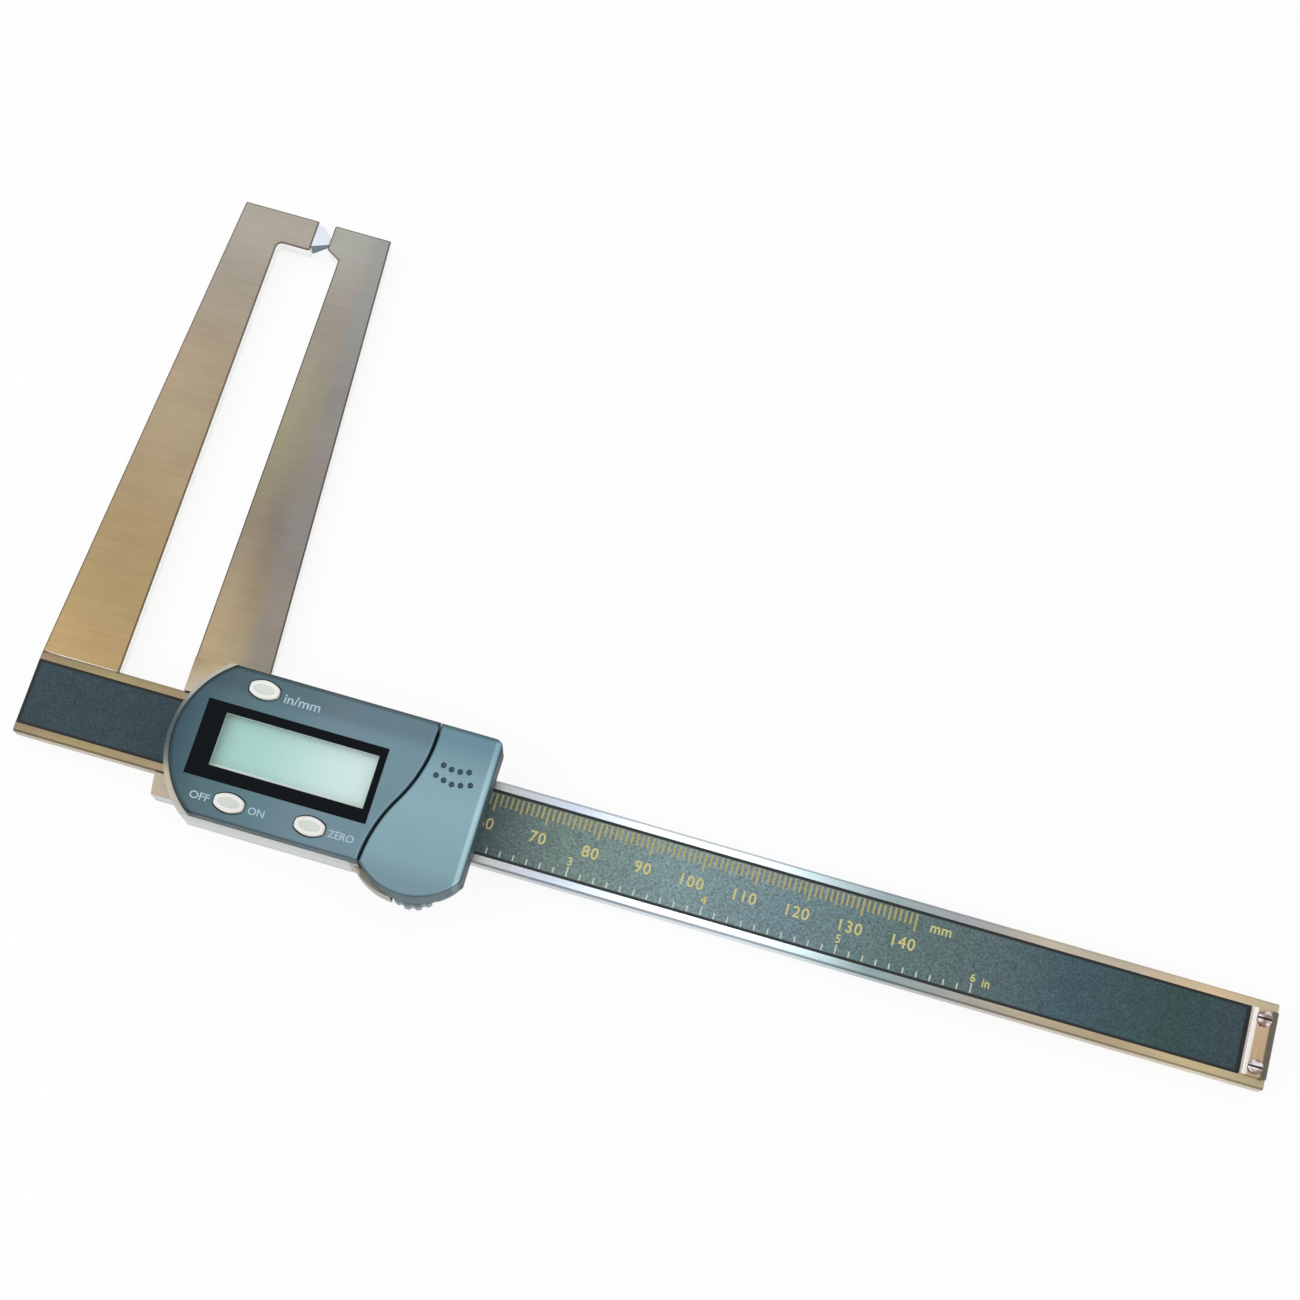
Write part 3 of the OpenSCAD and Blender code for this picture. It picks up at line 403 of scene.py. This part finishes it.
def frame_tint(paint):
    """Painted reflections: bronze on the low faces beside the jaw's root, darker on the rim over the beam,
    pale on the sides and the right end; the lug is tan-grey.
    """
    # painted reflection on the rim: pale beside the nose, dark over the strip
    rim = rows(
        paint, "Y", -62.0, -28.0,
        (-60, (192, 199, 202)), (-57.5, (190, 189, 178)), (-52.5, (186, 180, 160)), (-50, (122, 126, 120)),
        (-47, (86, 96, 100)), (-42, (82, 94, 100)), (-39, (114, 122, 122)), (-36.5, (172, 174, 168)),
        (-29, (178, 175, 163)),
    )
    warm_painted_reflection = rows(
        paint, "Y", -62.0, -28.0,
        (-58, (176, 164, 146)), (-50, (180, 167, 147)), (-35.5, (190, 179, 161)), (-32.3, (190, 174, 146)),
        (-28.9, (190, 168, 130)),
    )
    # painted reflection: the sides are pale, as if mirroring the white floor
    body = paint.mix(paint.span(paint.facing("Z"), 0.5, 0.9), tone(200, 204, 206), warm_painted_reflection)
    metal = paint.mix(paint.span(paint.axis("Z"), 5.6, 6.2), body, rim)
    low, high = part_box("slider_frame")
    foot, right = low.y / MM, high.x / MM
    lug = paint.math("MULTIPLY", paint.span(paint.axis("Y"), foot + 4.6, foot + 5.4, 1.0, 0.0),
                     paint.span(paint.axis("X"), right - 20.0, right - 19.0))
    metal = paint.mix(lug, metal, tone(150, 148, 134))
    # painted light: the right end is nearly white, to fade into the bright backdrop
    painted_pale_end = paint.math("MULTIPLY", paint.span(paint.facing("X"), 0.5, 0.9),
                     paint.span(paint.axis("X"), right - 3.0, right - 2.0))
    return paint.mix(painted_pale_end, metal, tone(240, 242, 242))


def stop_tint(paint):
    """Painted light: a bright left lip as a painted reflection, a bronze middle as a warm painted
    reflection and a dark right lip as painted shade.
    """
    low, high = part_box("end_stop")
    left, right = low.x / MM, high.x / MM
    return rows(
        paint, "X", left, right,
        (left, (240, 234, 228)), (left + 1.0, (240, 232, 226)), (left + 1.35, (190, 163, 133)),
        (right - 1.5, (190, 163, 133)), (right - 1.2, (104, 97, 84)), (right, (102, 98, 90)),
    )


def stop_screw_tint(paint):
    """Painted reflections as bright and bronze patches on the heads, and painted shade in the slots and
    round the heads.
    """
    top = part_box("end_stop_screws")[1].z / MM
    painted_glint = paint.noise((2.2, 1.6, 2.2), 1.0)
    head = paint.ramp(painted_glint, (0.4, tone(140, 120, 108)), (0.58, tone(236, 232, 234)))
    slot_painted_shade = paint.span(paint.axis("Z"), top - 0.22, top - 0.1, 1.0, 0.0)
    return paint.mix(slot_painted_shade, head, tone(60, 54, 48))


def tip_tint(paint):
    """Painted light: bright facets above and a dark one below, by the way each faces."""
    return paint.mix(paint.span(paint.facing("Y"), -0.6, -0.3), tone(104, 122, 130), tone(226, 232, 240))


def display_material():
    paint = Paint("display_film", Coat_Weight=0.6, Coat_Roughness=0.06)
    low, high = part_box("lcd_panel")
    # the film's mint, with a painted reflection that whitens it towards the right
    across = paint.span(paint.axis("X"), low.x / MM, high.x / MM, smooth=False)
    mint_and_painted_glare = paint.ramp(across, (0.0, tone(138, 200, 186)), (0.35, tone(158, 212, 203)),
                      (0.7, tone(202, 232, 227)), (1.0, tone(222, 244, 240)))
    grain = paint.noise((0.3, 0.3, 0.3), 2.0)
    mint_and_painted_glare = paint.shade(mint_and_painted_glare, grain, 0.94, 1.05)
    foot = low.y / MM + FILM_LAP
    # painted highlight: a light border along the film's lower edge
    rim = paint.span(paint.axis("Y"), foot + 0.66, foot + 0.8, 1.0, 0.0)
    film = paint.mix(rim, mint_and_painted_glare, tone(232, 244, 240))
    return paint.finish(film, paint.span(grain, 0.3, 0.7, 0.3, 0.42), paint.bump(grain, 0.1, 0.004))


def ink(name, *colour):
    """Printed paint, thin in places."""
    paint = Paint(name)
    thin = paint.noise((0.3, 0.3, 0.3), 3.0, 0.7)
    worn = paint.ramp(thin, (0.3, tone(*[0.78 * c for c in colour])), (0.6, tone(*colour)))
    return paint.finish(worn, paint.span(thin, 0.3, 0.7, 0.4, 0.6), paint.bump(thin, 0.2, 0.004))


def board_material():
    paint = Paint("solder_mask", Coat_Weight=0.3)
    track = paint.noise((0.4, 5, 5), 1.0)
    cloud = paint.noise((4, 4, 4), 3.0)
    base = paint.ramp(track, (0.46, tone(12, 84, 44)), (0.52, tone(22, 122, 66)))
    base = paint.shade(base, cloud, 0.85, 1.1)
    return paint.finish(base, paint.span(cloud, 0.3, 0.7, 0.3, 0.45), paint.bump(track, 0.3, 0.02))


def copper_material():
    paint = Paint("etched_copper", Metallic=0.6)
    wave = paint.add("TexWave", bands_direction="X")
    paint.feed(wave.inputs["Vector"], paint.point((3.2, 3.2, 3.2)))
    wave.inputs["Scale"].default_value = 1.0
    base = paint.ramp(wave.outputs["Fac"], (0.48, tone(92, 74, 44)), (0.52, tone(196, 132, 82)))
    cloud = paint.noise((5, 5, 5), 3.0)
    base = paint.shade(base, cloud, 0.85, 1.08)
    return paint.finish(base, paint.span(cloud, 0.3, 0.7, 0.35, 0.55))


def lens_material():
    paint = Paint("clear_window", Alpha=0.1, IOR=1.49, Coat_Weight=1.0, Coat_Roughness=0.02)
    smear = paint.noise((4, 1.2, 4), 3.0)
    base = paint.ramp(smear, (0.3, tone(226, 240, 238)), (0.7, tone(244, 250, 250)))
    return paint.finish(base, paint.span(smear, 0.3, 0.7, 0.02, 0.08))


# The scratches on the blades and on the beam, in mm along X, Y and Z
ACROSS = (7.0, 0.14, 2.0)
ALONG_BEAM = (9.0, 0.16, 0.16)

looks = {
    "fixed_jaw": brushed("fixed_blade_steel", fixed_blade_tint, ACROSS),
    "moving_jaw": brushed("moving_blade_steel", moving_blade_tint, ACROSS),
    "beam": brushed("beam_steel", beam_tint, ALONG_BEAM, (0.16, 0.3)),
    "contact_tip": brushed("lapped_tip", tip_tint, (0.1, 0.1, 3.0), (0.1, 0.2), 1.0, 0.002),
    "scale_grating": copper_material(),
    "scale_label": strip_material(),
    "end_stop": brushed("stop_sheet", stop_tint, (0.12, 4.0, 2.0), (0.22, 0.36)),
    "end_stop_screws": brushed("bright_screw", stop_screw_tint, (1.2, 0.1, 1.2), (0.16, 0.3), 1.0),
    "slider_frame": brushed("satin_frame", frame_tint, (6.0, 0.18, 0.18), (0.28, 0.42)),
    "back_plate": brushed("satin_back", plain(196, 197, 196), (8.0, 0.16, 2.0), (0.3, 0.44)),
    "gib": brushed("gib_brass", plain(206, 176, 108), (5.0, 0.2, 0.2), (0.26, 0.4)),
    "gib_screws": brushed("black_oxide", plain(58, 60, 64), (0.3, 0.3, 0.3), (0.34, 0.5), 0.7),
    "main_cover": moulded("slate_moulding", slate_tint),
    "bezel": moulded("gloss_black", plain(7, 13, 16), 0.4, (0.12, 0.22), 0.002, Specular_IOR_Level=0.08),
    "display_lens": lens_material(),
    "lcd_panel": display_material(),
    "zebra_strips": moulded("pink_elastomer", plain(206, 152, 150), 0.3, (0.6, 0.75)),
    "circuit_board": board_material(),
    "controller_chip": moulded("epoxy_blob", plain(24, 24, 25), 0.5, (0.2, 0.35), 0.01),
    "switch_domes": brushed("dome_steel", plain(214, 216, 220), (0.6, 0.6, 0.6), (0.18, 0.32), 1.0),
    "battery": brushed("cell_can", plain(206, 208, 210), (3.0, 0.2, 0.2), (0.18, 0.34), 1.0),
    "positive_contact": brushed("spring_brass", plain(214, 182, 110), (0.2, 3.0, 0.2), (0.24, 0.4)),
    "cover_screws": brushed("plated_screw", plain(200, 202, 206), (0.9, 0.1, 0.9), (0.2, 0.36), 1.0),
    "roller_axle": brushed("axle_steel", plain(196, 198, 202), (0.1, 2.0, 2.0), (0.2, 0.34), 1.0),
    "thumb_roller": moulded("roller_moulding", plain(134, 150, 155), 0.25, (0.4, 0.55)),
    "unit_button": moulded("key_rim", plain(238, 238, 234), 0.3, (0.34, 0.46), 0.006),
    "battery_cover": moulded("light_slate_moulding", light_slate_tint),
}
looks["negative_contact"] = looks["positive_contact"]
looks["power_button"] = looks["unit_button"]
looks["zero_button"] = looks["unit_button"]
key_dish = moulded("key_dish", plain(213, 219, 212), 0.3, (0.4, 0.55), 0.006)
# Painted highlight: the display window's walls are pale, as if lit
window_wall_highlight = moulded("window_wall_highlight", plain(232, 243, 239), 0.3, (0.3, 0.42), 0.004)
# Painted shade: the grip's dimples are dark, as if in shadow
grip_pit_shade = moulded("grip_pit_shade", plain(58, 82, 94), 0.2, (0.5, 0.65))


# Shape helpers

# Faces that meet under FLAT_ANGLE become one, edges over HARD_ANGLE are broken and those over SMOOTH_ANGLE
# are shaded sharp
FLAT_ANGLE = math.radians(0.5)
HARD_ANGLE = math.radians(35.0)
SMOOTH_ANGLE = math.radians(40.0)


def cad_shape(name):
    """A working copy of a CAD node's mesh with its split corners joined."""
    bm = bmesh.new()
    bm.from_mesh(nodes[name].data)
    bmesh.ops.remove_doubles(bm, verts=bm.verts, dist=1e-7)
    return bm


def add_piece(name, bm, body, slot, *materials):
    """Makes a shown piece of a mesh, shaded so that flat faces stay flat beside small rounds."""
    mesh = bpy.data.meshes.new(name)
    bmesh.ops.recalc_face_normals(bm, faces=bm.faces)
    bm.to_mesh(mesh)
    bm.free()
    for material in materials:
        mesh.materials.append(material)
    mesh.shade_smooth()
    mesh.set_sharp_from_angle(angle=SMOOTH_ANGLE)
    piece = bpy.data.objects.new(name, mesh)
    bpy.context.scene.collection.objects.link(piece)
    weigh = piece.modifiers.new("weighted_normals", "WEIGHTED_NORMAL")
    weigh.keep_sharp = True
    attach(piece, body)
    return piece


def stand_in(name, bm, *materials):
    """Makes the dressed piece that takes a CAD node's place."""
    piece = add_piece(name + "_dressed", bm, body_of[name], slot_of[name], *materials)
    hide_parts(name)


def soften(name, width, flush_y=None):
    """Breaks a node's hard edges with a small round, but not those of a flush joint at flush_y mm."""
    bm = cad_shape(name)
    bmesh.ops.dissolve_limit(bm, angle_limit=FLAT_ANGLE, verts=bm.verts, edges=bm.edges)
    hard = [e for e in bm.edges if e.is_manifold and e.calc_face_angle() > HARD_ANGLE]
    if flush_y is not None:
        hard = [e for e in hard if any(abs(v.co.y - flush_y * MM) > 1e-5 for v in e.verts)]
    bmesh.ops.bevel(bm, geom=hard, offset=width * MM, offset_type="OFFSET", segments=2,
                    profile=0.5, affect="EDGES", clamp_overlap=True)
    bmesh.ops.triangulate(bm, faces=[f for f in bm.faces if len(f.verts) > 4])
    stand_in(name, bm, looks[name])


def chain(edges):
    """Sorts boundary edges into closed loops of vertices."""
    beside = {}
    for edge in edges:
        for vert in edge.verts:
            beside.setdefault(vert, []).append(edge.other_vert(vert))
    left = dict.fromkeys(beside)
    loops = []
    while left:
        start = next(iter(left))
        loop = [start]
        del left[start]
        while True:
            following = [v for v in beside[loop[-1]] if v in left]
            if not following:
                break
            loop.append(following[0])
            del left[following[0]]
        loops.append(loop)
    return loops


def area(loop):
    pairs = zip(loop, loop[1:] + loop[:1])
    return sum(a.co.x * b.co.y - b.co.x * a.co.y for a, b in pairs) / 2


def holds(loop, vert):
    """Whether a loop goes round a vertex, seen from above."""
    inside = False
    for a, b in zip(loop, loop[1:] + loop[:1]):
        if (a.co.y > vert.co.y) != (b.co.y > vert.co.y):
            cross = a.co.x + (vert.co.y - a.co.y) / (b.co.y - a.co.y) * (b.co.x - a.co.x)
            inside ^= cross > vert.co.x
    return inside


def inward(loop):
    """For each vertex, the step that moves both its edges one unit to their left."""
    steps = []
    for before, here, after in zip(loop[-1:] + loop[:-1], loop, loop[1:] + loop[:1]):
        one = (here.co - before.co).xy.normalized()
        two = (after.co - here.co).xy.normalized()
        side = Vector((-one.y - two.y, one.x + two.x))
        steps.append(side / max(1.0 + one.dot(two), 0.25))
    return steps


def crown(name, rim, mouth, second, dish_from=None, pit=None, window=False):
    """Rounds a flat-topped node. rim and mouth list how far in and how far down, in mm, the outer
    edge and the holes' edges go, from the wall's top to the flat. The second material goes on the
    rings from dish_from on, on the hollows that are pit mm deep, or on the window's walls."""
    bm = cad_shape(name)
    top_z = max(v.co.z for v in bm.verts)
    top = [f for f in bm.faces if f.normal.z > 0.9 and all(top_z - v.co.z < 1e-6 for v in f.verts)]
    flat = set(top)
    border = [e for e in bm.edges if sum(f in flat for f in e.link_faces) == 1]
    inner = [e for e in bm.edges if e not in border and all(f in flat for f in e.link_faces)]
    bmesh.ops.delete(bm, geom=top, context="FACES_ONLY")
    bmesh.ops.delete(bm, geom=inner, context="EDGES")
    last = []
    loops = chain(border)
    for loop in loops:
        hole = any(holds(other, loop[0]) for other in loops if other is not loop)
        if (area(loop) > 0) == hole:
            loop.reverse()
        profile = mouth if hole else rim
        steps = inward(loop)
        base = [v.co.copy() for v in loop]
        for vert in loop:
            vert.co.z = top_z - profile[0][1] * MM
        ring = loop
        for count, (go_in, go_down) in enumerate(profile[1:]):
            fresh = [
                bm.verts.new((c.x + s.x * go_in * MM, c.y + s.y * go_in * MM, top_z - go_down * MM))
                for c, s in zip(base, steps)
            ]
            for i in range(len(ring)):
                j = (i + 1) % len(ring)
                face = bm.faces.new((ring[i], ring[j], fresh[j], fresh[i]))
                if dish_from is not None and count >= dish_from:
                    face.material_index = 1
            ring = fresh
        last += [bm.edges.get((ring[i], ring[(i + 1) % len(ring)])) for i in range(len(ring))]
    fill = bmesh.ops.triangle_fill(bm, use_beauty=True, edges=last, normal=(0, 0, 1))
    if dish_from is not None:
        for item in fill["geom"]:
            if isinstance(item, bmesh.types.BMFace):
                item.material_index = 1
    if pit:
        deep = [f for f in bm.faces if abs(top_z - f.verts[0].co.z - pit * MM) < 1e-6]
        for floor in [f for f in deep if f.normal.z > 0.9]:
            for face in {side for edge in floor.edges for side in edge.link_faces}:
                face.material_index = 1
    if window:
        bm.normal_update()
        low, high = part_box("display_lens")
        for face in [f for f in bm.faces if abs(f.normal.z) < 0.3]:
            at = face.calc_center_median()
            if all(low[i] + MM < at[i] < high[i] - MM for i in (0, 1)):
                face.material_index = 1
    stand_in(name, bm, looks[name], second)


def quarter(radius, steps=5):
    """A rim's quarter round as pairs of in and down."""
    turns = [math.pi / 2 * i / steps for i in range(steps + 1)]
    return [(radius * (1 - math.cos(t)), radius * (1 - math.sin(t))) for t in turns]


# Printing

# The strip's face and the ink's thickness, in mm
STRIP_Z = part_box("scale_label")[1].z / MM
PRINT_T = 0.012

# The ticks in mm from the beam's line: the foot and the half width of those at each 10, 5 and 1 mm, and
# their head; then the head of those at each inch and each tenth of one, their foot and their half width
MM_TICK = {10: (2.36, 0.19), 5: (3.0, 0.17), 1: (3.4, 0.17)}
MM_HEAD = 5.65
INCH_HEAD = {10: -3.9, 1: -4.6}
INCH_FOOT = -5.7
INCH_HALF = 0.14
TENTH = 2.54

# The share of its half width by which a tick is drawn in at the ink's top
DRAW_IN = 0.15

# The last mark of each scale
LAST_MM = 140
LAST_TENTH = 60


def tick(bm, x, half, foot, head):
    """A printed mark on the strip, a little smaller at its top; foot and head are from the beam's line."""
    rings = []
    for inset, z in ((0.0, STRIP_Z), (DRAW_IN * half, STRIP_Z + PRINT_T)):
        x0, x1 = x - half + inset, x + half - inset
        y0, y1 = LINE_Y + foot + inset, LINE_Y + head - inset
        corners = ((x0, y0), (x1, y0), (x1, y1), (x0, y1))
        rings.append([bm.verts.new((at_x * MM, at_y * MM, z * MM)) for at_x, at_y in corners])
    low, high = rings
    bm.faces.new(low[::-1])
    bm.faces.new(high)
    for i in range(4):
        j = (i + 1) % 4
        bm.faces.new((low[i], low[j], high[j], high[i]))


def write(bm, text, centre, z, height, width=None, space=1.0):
    """Adds a word as thin raised print about its centre, fitted to a height in mm and, if told, a width."""
    curve = bpy.data.curves.new("word", "FONT")
    curve.body = text
    curve.space_character = space
    curve.extrude = 0.5
    curve.offset = 0.014
    curve.resolution_u = 4
    holder = bpy.data.objects.new("word", curve)
    bpy.context.scene.collection.objects.link(holder)
    bpy.context.view_layer.update()
    shape = bpy.data.meshes.new_from_object(holder.evaluated_get(bpy.context.evaluated_depsgraph_get()))
    bpy.data.objects.remove(holder)
    bpy.data.curves.remove(curve)
    xs = [v.co.x for v in shape.vertices]
    ys = [v.co.y for v in shape.vertices]
    size_x, size_y = max(xs) - min(xs), max(ys) - min(ys)
    scale_y = height / size_y
    scale_x = width / size_x if width else scale_y
    mid_x, mid_y = (max(xs) + min(xs)) / 2, (max(ys) + min(ys)) / 2
    for v in shape.vertices:
        v.co = Vector((
            centre[0] + (v.co.x - mid_x) * scale_x,
            centre[1] + (v.co.y - mid_y) * scale_y,
            z + (v.co.z + 0.5) * PRINT_T,
        )) * MM
    bm.from_mesh(shape)
    bpy.data.meshes.remove(shape)


def print_scales():
    gold_ticks = bmesh.new()
    gold_numbers = bmesh.new()
    for mark in range(0, LAST_MM + 1):
        x = ZERO_X + mark
        step = max(size for size in MM_TICK if mark % size == 0)
        foot, half = MM_TICK[step]
        tick(gold_ticks, x, half, foot, MM_HEAD)
        if step == 10 and mark:
            shift = 1.3 if mark >= 100 else 0.7
            write(gold_numbers, str(mark), (x - shift, LINE_Y - 0.2), STRIP_Z, height=2.2, space=1.12)
    write(gold_numbers, "mm", (ZERO_X + 144.8, LINE_Y + 3.67), STRIP_Z, height=1.3, space=1.05)
    gold = ink("gold_print", 186, 172, 108)
    bright = ink("bright_gold_print", 214, 204, 132)
    add_piece("mm_ticks", gold_ticks, "beam", "scale_print", gold)
    add_piece("mm_numbers", gold_numbers, "beam", "scale_print", bright)

    pale_ticks = bmesh.new()
    pale_numbers = bmesh.new()
    for mark in range(0, LAST_TENTH + 1):
        x = ZERO_X + mark * TENTH
        step = max(size for size in INCH_HEAD if mark % size == 0)
        tick(pale_ticks, x, INCH_HALF, INCH_FOOT, INCH_HEAD[step])
        if step == 10 and mark:
            write(pale_numbers, str(mark // 10), (x, LINE_Y - 2.85), STRIP_Z, height=1.6)
    write(pale_numbers, "in", (ZERO_X + 154.9, LINE_Y - 3.3), STRIP_Z, height=1.5)
    pale = ink("pale_print", 206, 214, 196)
    add_piece("inch_ticks", pale_ticks, "beam", "scale_print", pale)
    add_piece("inch_numbers", pale_numbers, "beam", "scale_print", bright)


def print_keys():
    """The words beside the keys: text, place from the scale's zero and the beam's line, width, height."""
    words = bmesh.new()
    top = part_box("main_cover")[1].z / MM
    for text, x, y, width, height in (
        ("in/mm", 22.0, 9.8, 6.8, 1.75),
        ("OFF", 9.8, -11.6, 3.7, 1.4),
        ("ON", 20.4, -11.65, 3.0, 1.35),
        ("ZERO", 36.2, -11.6, 4.8, 1.4),
    ):
        write(words, text, (ZERO_X + x, LINE_Y + y), top, height=height, width=width)
    add_piece("key_words", words, "slider", "button_plastic", ink("pale_blue_print", 176, 204, 218))


# The object

for name, width in (
    ("beam", 0.15), ("contact_tip", 0.06), ("end_stop", 0.14), ("end_stop_screws", 0.06),
    ("back_plate", 0.22), ("gib_screws", 0.05), ("cover_screws", 0.05), ("roller_axle", 0.1),
    ("thumb_roller", 0.1),
):
    soften(name, width)
BLADE_EDGE = 0.3
soften("fixed_jaw", BLADE_EDGE, flush_y=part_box("beam")[1].y / MM)
soften("moving_jaw", BLADE_EDGE, flush_y=JAW_FOOT_Y)
soften("slider_frame", 0.14, flush_y=JAW_FOOT_Y)

# Edges as pairs of in and down, in mm: the mouldings' rims, their holes, small rims, the bezel's window
# and the keys with their dished tops
MOULD_RIM = quarter(0.7)
MOULD_HOLE = [(0.0, 0.12), (0.04, 0.04), (0.12, 0.0)]
SMALL_RIM = [(0.0, 0.1), (0.03, 0.03), (0.1, 0.0)]
BEZEL_MOUTH = [(0.0, 0.28), (0.1, 0.1), (0.28, 0.0)]
KEY = quarter(0.35, 4) + [(0.62, 0.0), (0.78, 0.03), (0.95, 0.1), (1.15, 0.16), (1.4, 0.19)]
KEY_DISH_FROM = 6
DIMPLE_DEEP = 0.35

crown("main_cover", MOULD_RIM, MOULD_HOLE, window_wall_highlight, window=True)
crown("battery_cover", MOULD_RIM, SMALL_RIM, grip_pit_shade, pit=DIMPLE_DEEP)
crown("bezel", SMALL_RIM, BEZEL_MOUTH, window_wall_highlight, window=True)
for name in ("unit_button", "power_button", "zero_button"):
    crown(name, KEY, KEY, key_dish, dish_from=KEY_DISH_FROM)

for name in ("scale_grating", "scale_label", "gib", "display_lens", "lcd_panel", "zebra_strips",
             "circuit_board", "controller_chip", "switch_domes", "battery", "positive_contact",
             "negative_contact"):
    mesh = nodes[name].data
    for index in range(len(mesh.materials)):
        mesh.materials[index] = looks[name]

print_scales()
print_keys()


# Camera, floor and light

# The camera that was fitted to the photograph: its lens, its place in mm, its line of sight and its roll
LENS_MM = 59.538
CAMERA_AT = Vector((5.096, -116.282, 393.598))
LOOK = Vector((-0.037121, 0.278107, -0.959833))
ROLL = math.radians(8.527)

camera = bpy.data.cameras.new("camera")
camera.sensor_width = 36.0
camera.lens = LENS_MM
eye = bpy.data.objects.new("camera", camera)
eye.location = CAMERA_AT * MM
turn = LOOK.to_track_quat("-Z", "Y") @ Quaternion((0, 0, 1), ROLL)
eye.rotation_euler = turn.to_euler()
bpy.context.scene.collection.objects.link(eye)
bpy.context.scene.camera = eye


def seen_directly(tree):
    """1 for camera, mirror and see-through rays, 0 for the rays that only light things."""
    path = tree.nodes.new("ShaderNodeLightPath")
    total = path.outputs["Is Camera Ray"]
    for ray in ("Is Glossy Ray", "Is Transmission Ray"):
        add = tree.nodes.new("ShaderNodeMath")
        add.operation = "ADD"
        add.use_clamp = True
        tree.links.new(total, add.inputs[0])
        tree.links.new(path.outputs[ray], add.inputs[1])
        total = add.outputs[0]
    return total


# The floor's half size and its place just under the part, in metres, and how much of it glows
FLOOR_HALF = 3.0
FLOOR_Z = -0.0004
FLOOR_GLOW = 0.88


def make_floor():
    bm = bmesh.new()
    bmesh.ops.create_grid(bm, x_segments=8, y_segments=8, size=FLOOR_HALF)
    mesh = bpy.data.meshes.new("floor")
    bm.to_mesh(mesh)
    bm.free()
    floor = bpy.data.objects.new("floor", mesh)
    floor.location.z = FLOOR_Z
    material = bpy.data.materials.new("pale_floor")
    material.use_nodes = True
    tree = material.node_tree
    tree.nodes.clear()
    out = tree.nodes.new("ShaderNodeOutputMaterial")
    matt = tree.nodes.new("ShaderNodeBsdfDiffuse")
    matt.inputs["Color"].default_value = (0.95, 0.95, 0.95, 1)
    glow = tree.nodes.new("ShaderNodeEmission")
    glow.inputs["Strength"].default_value = 1.0
    share = tree.nodes.new("ShaderNodeMath")
    share.operation = "MULTIPLY"
    share.inputs[1].default_value = FLOOR_GLOW
    tree.links.new(seen_directly(tree), share.inputs[0])
    blend = tree.nodes.new("ShaderNodeMixShader")
    tree.links.new(share.outputs[0], blend.inputs[0])
    tree.links.new(matt.outputs[0], blend.inputs[1])
    tree.links.new(glow.outputs[0], blend.inputs[2])
    tree.links.new(blend.outputs[0], out.inputs["Surface"])
    mesh.materials.append(material)
    bpy.context.scene.collection.objects.link(floor)


def make_world():
    """White to the camera; as light it fades from the sky to the horizon and is stronger from the right."""
    world = bpy.data.worlds.new("studio")
    world.use_nodes = True
    bpy.context.scene.world = world
    tree = world.node_tree
    backdrop = tree.nodes["Background"]
    backdrop.inputs["Color"].default_value = (1, 1, 1, 1)

    def span(value, low, high, to_low, to_high):
        node = tree.nodes.new("ShaderNodeMapRange")
        for key, number in zip(("From Min", "From Max", "To Min", "To Max"), (low, high, to_low, to_high)):
            node.inputs[key].default_value = number
        tree.links.new(value, node.inputs["Value"])
        return node.outputs["Result"]

    def both(operation, first, second):
        node = tree.nodes.new("ShaderNodeMath")
        node.operation = operation
        tree.links.new(first, node.inputs[0])
        tree.links.new(second, node.inputs[1])
        return node.outputs[0]

    split = tree.nodes.new("ShaderNodeSeparateXYZ")
    tree.links.new(tree.nodes.new("ShaderNodeTexCoord").outputs["Generated"], split.inputs[0])
    path = tree.nodes.new("ShaderNodeLightPath")
    height = span(split.outputs["Z"], 0.0, 0.75, 0.3, 1.0)
    right = span(split.outputs["X"], 0.35, 0.95, 0.0, 0.6)
    sky = both("ADD", height, right)
    lit = both("MULTIPLY", sky, span(path.outputs["Is Glossy Ray"], 0.0, 1.0, 0.84, 1.0))
    strength = both("MAXIMUM", lit, path.outputs["Is Camera Ray"])
    tree.links.new(strength, backdrop.inputs["Strength"])


def make_lamp(name, at, aim, size, power):
    """A soft rectangular lamp; places and sizes in metres."""
    lamp = bpy.data.lights.new(name, "AREA")
    lamp.shape = "RECTANGLE"
    lamp.size, lamp.size_y = size
    lamp.energy = power
    holder = bpy.data.objects.new(name, lamp)
    holder.location = at
    holder.rotation_euler = (Vector(aim) - Vector(at)).to_track_quat("-Z", "Y").to_euler()
    bpy.context.scene.collection.objects.link(holder)


make_floor()
make_world()
make_lamp("overhead", (0.016, 0.051, 0.505), (0.008, -0.043, 0.005), (0.066, 0.24), 0.125)
make_lamp("side_fill", (-0.55, -0.2, 0.6), (0.0, 0.0, 0.0), (0.5, 0.5), 1.6)

bpy.context.scene.view_settings.view_transform = "Standard"
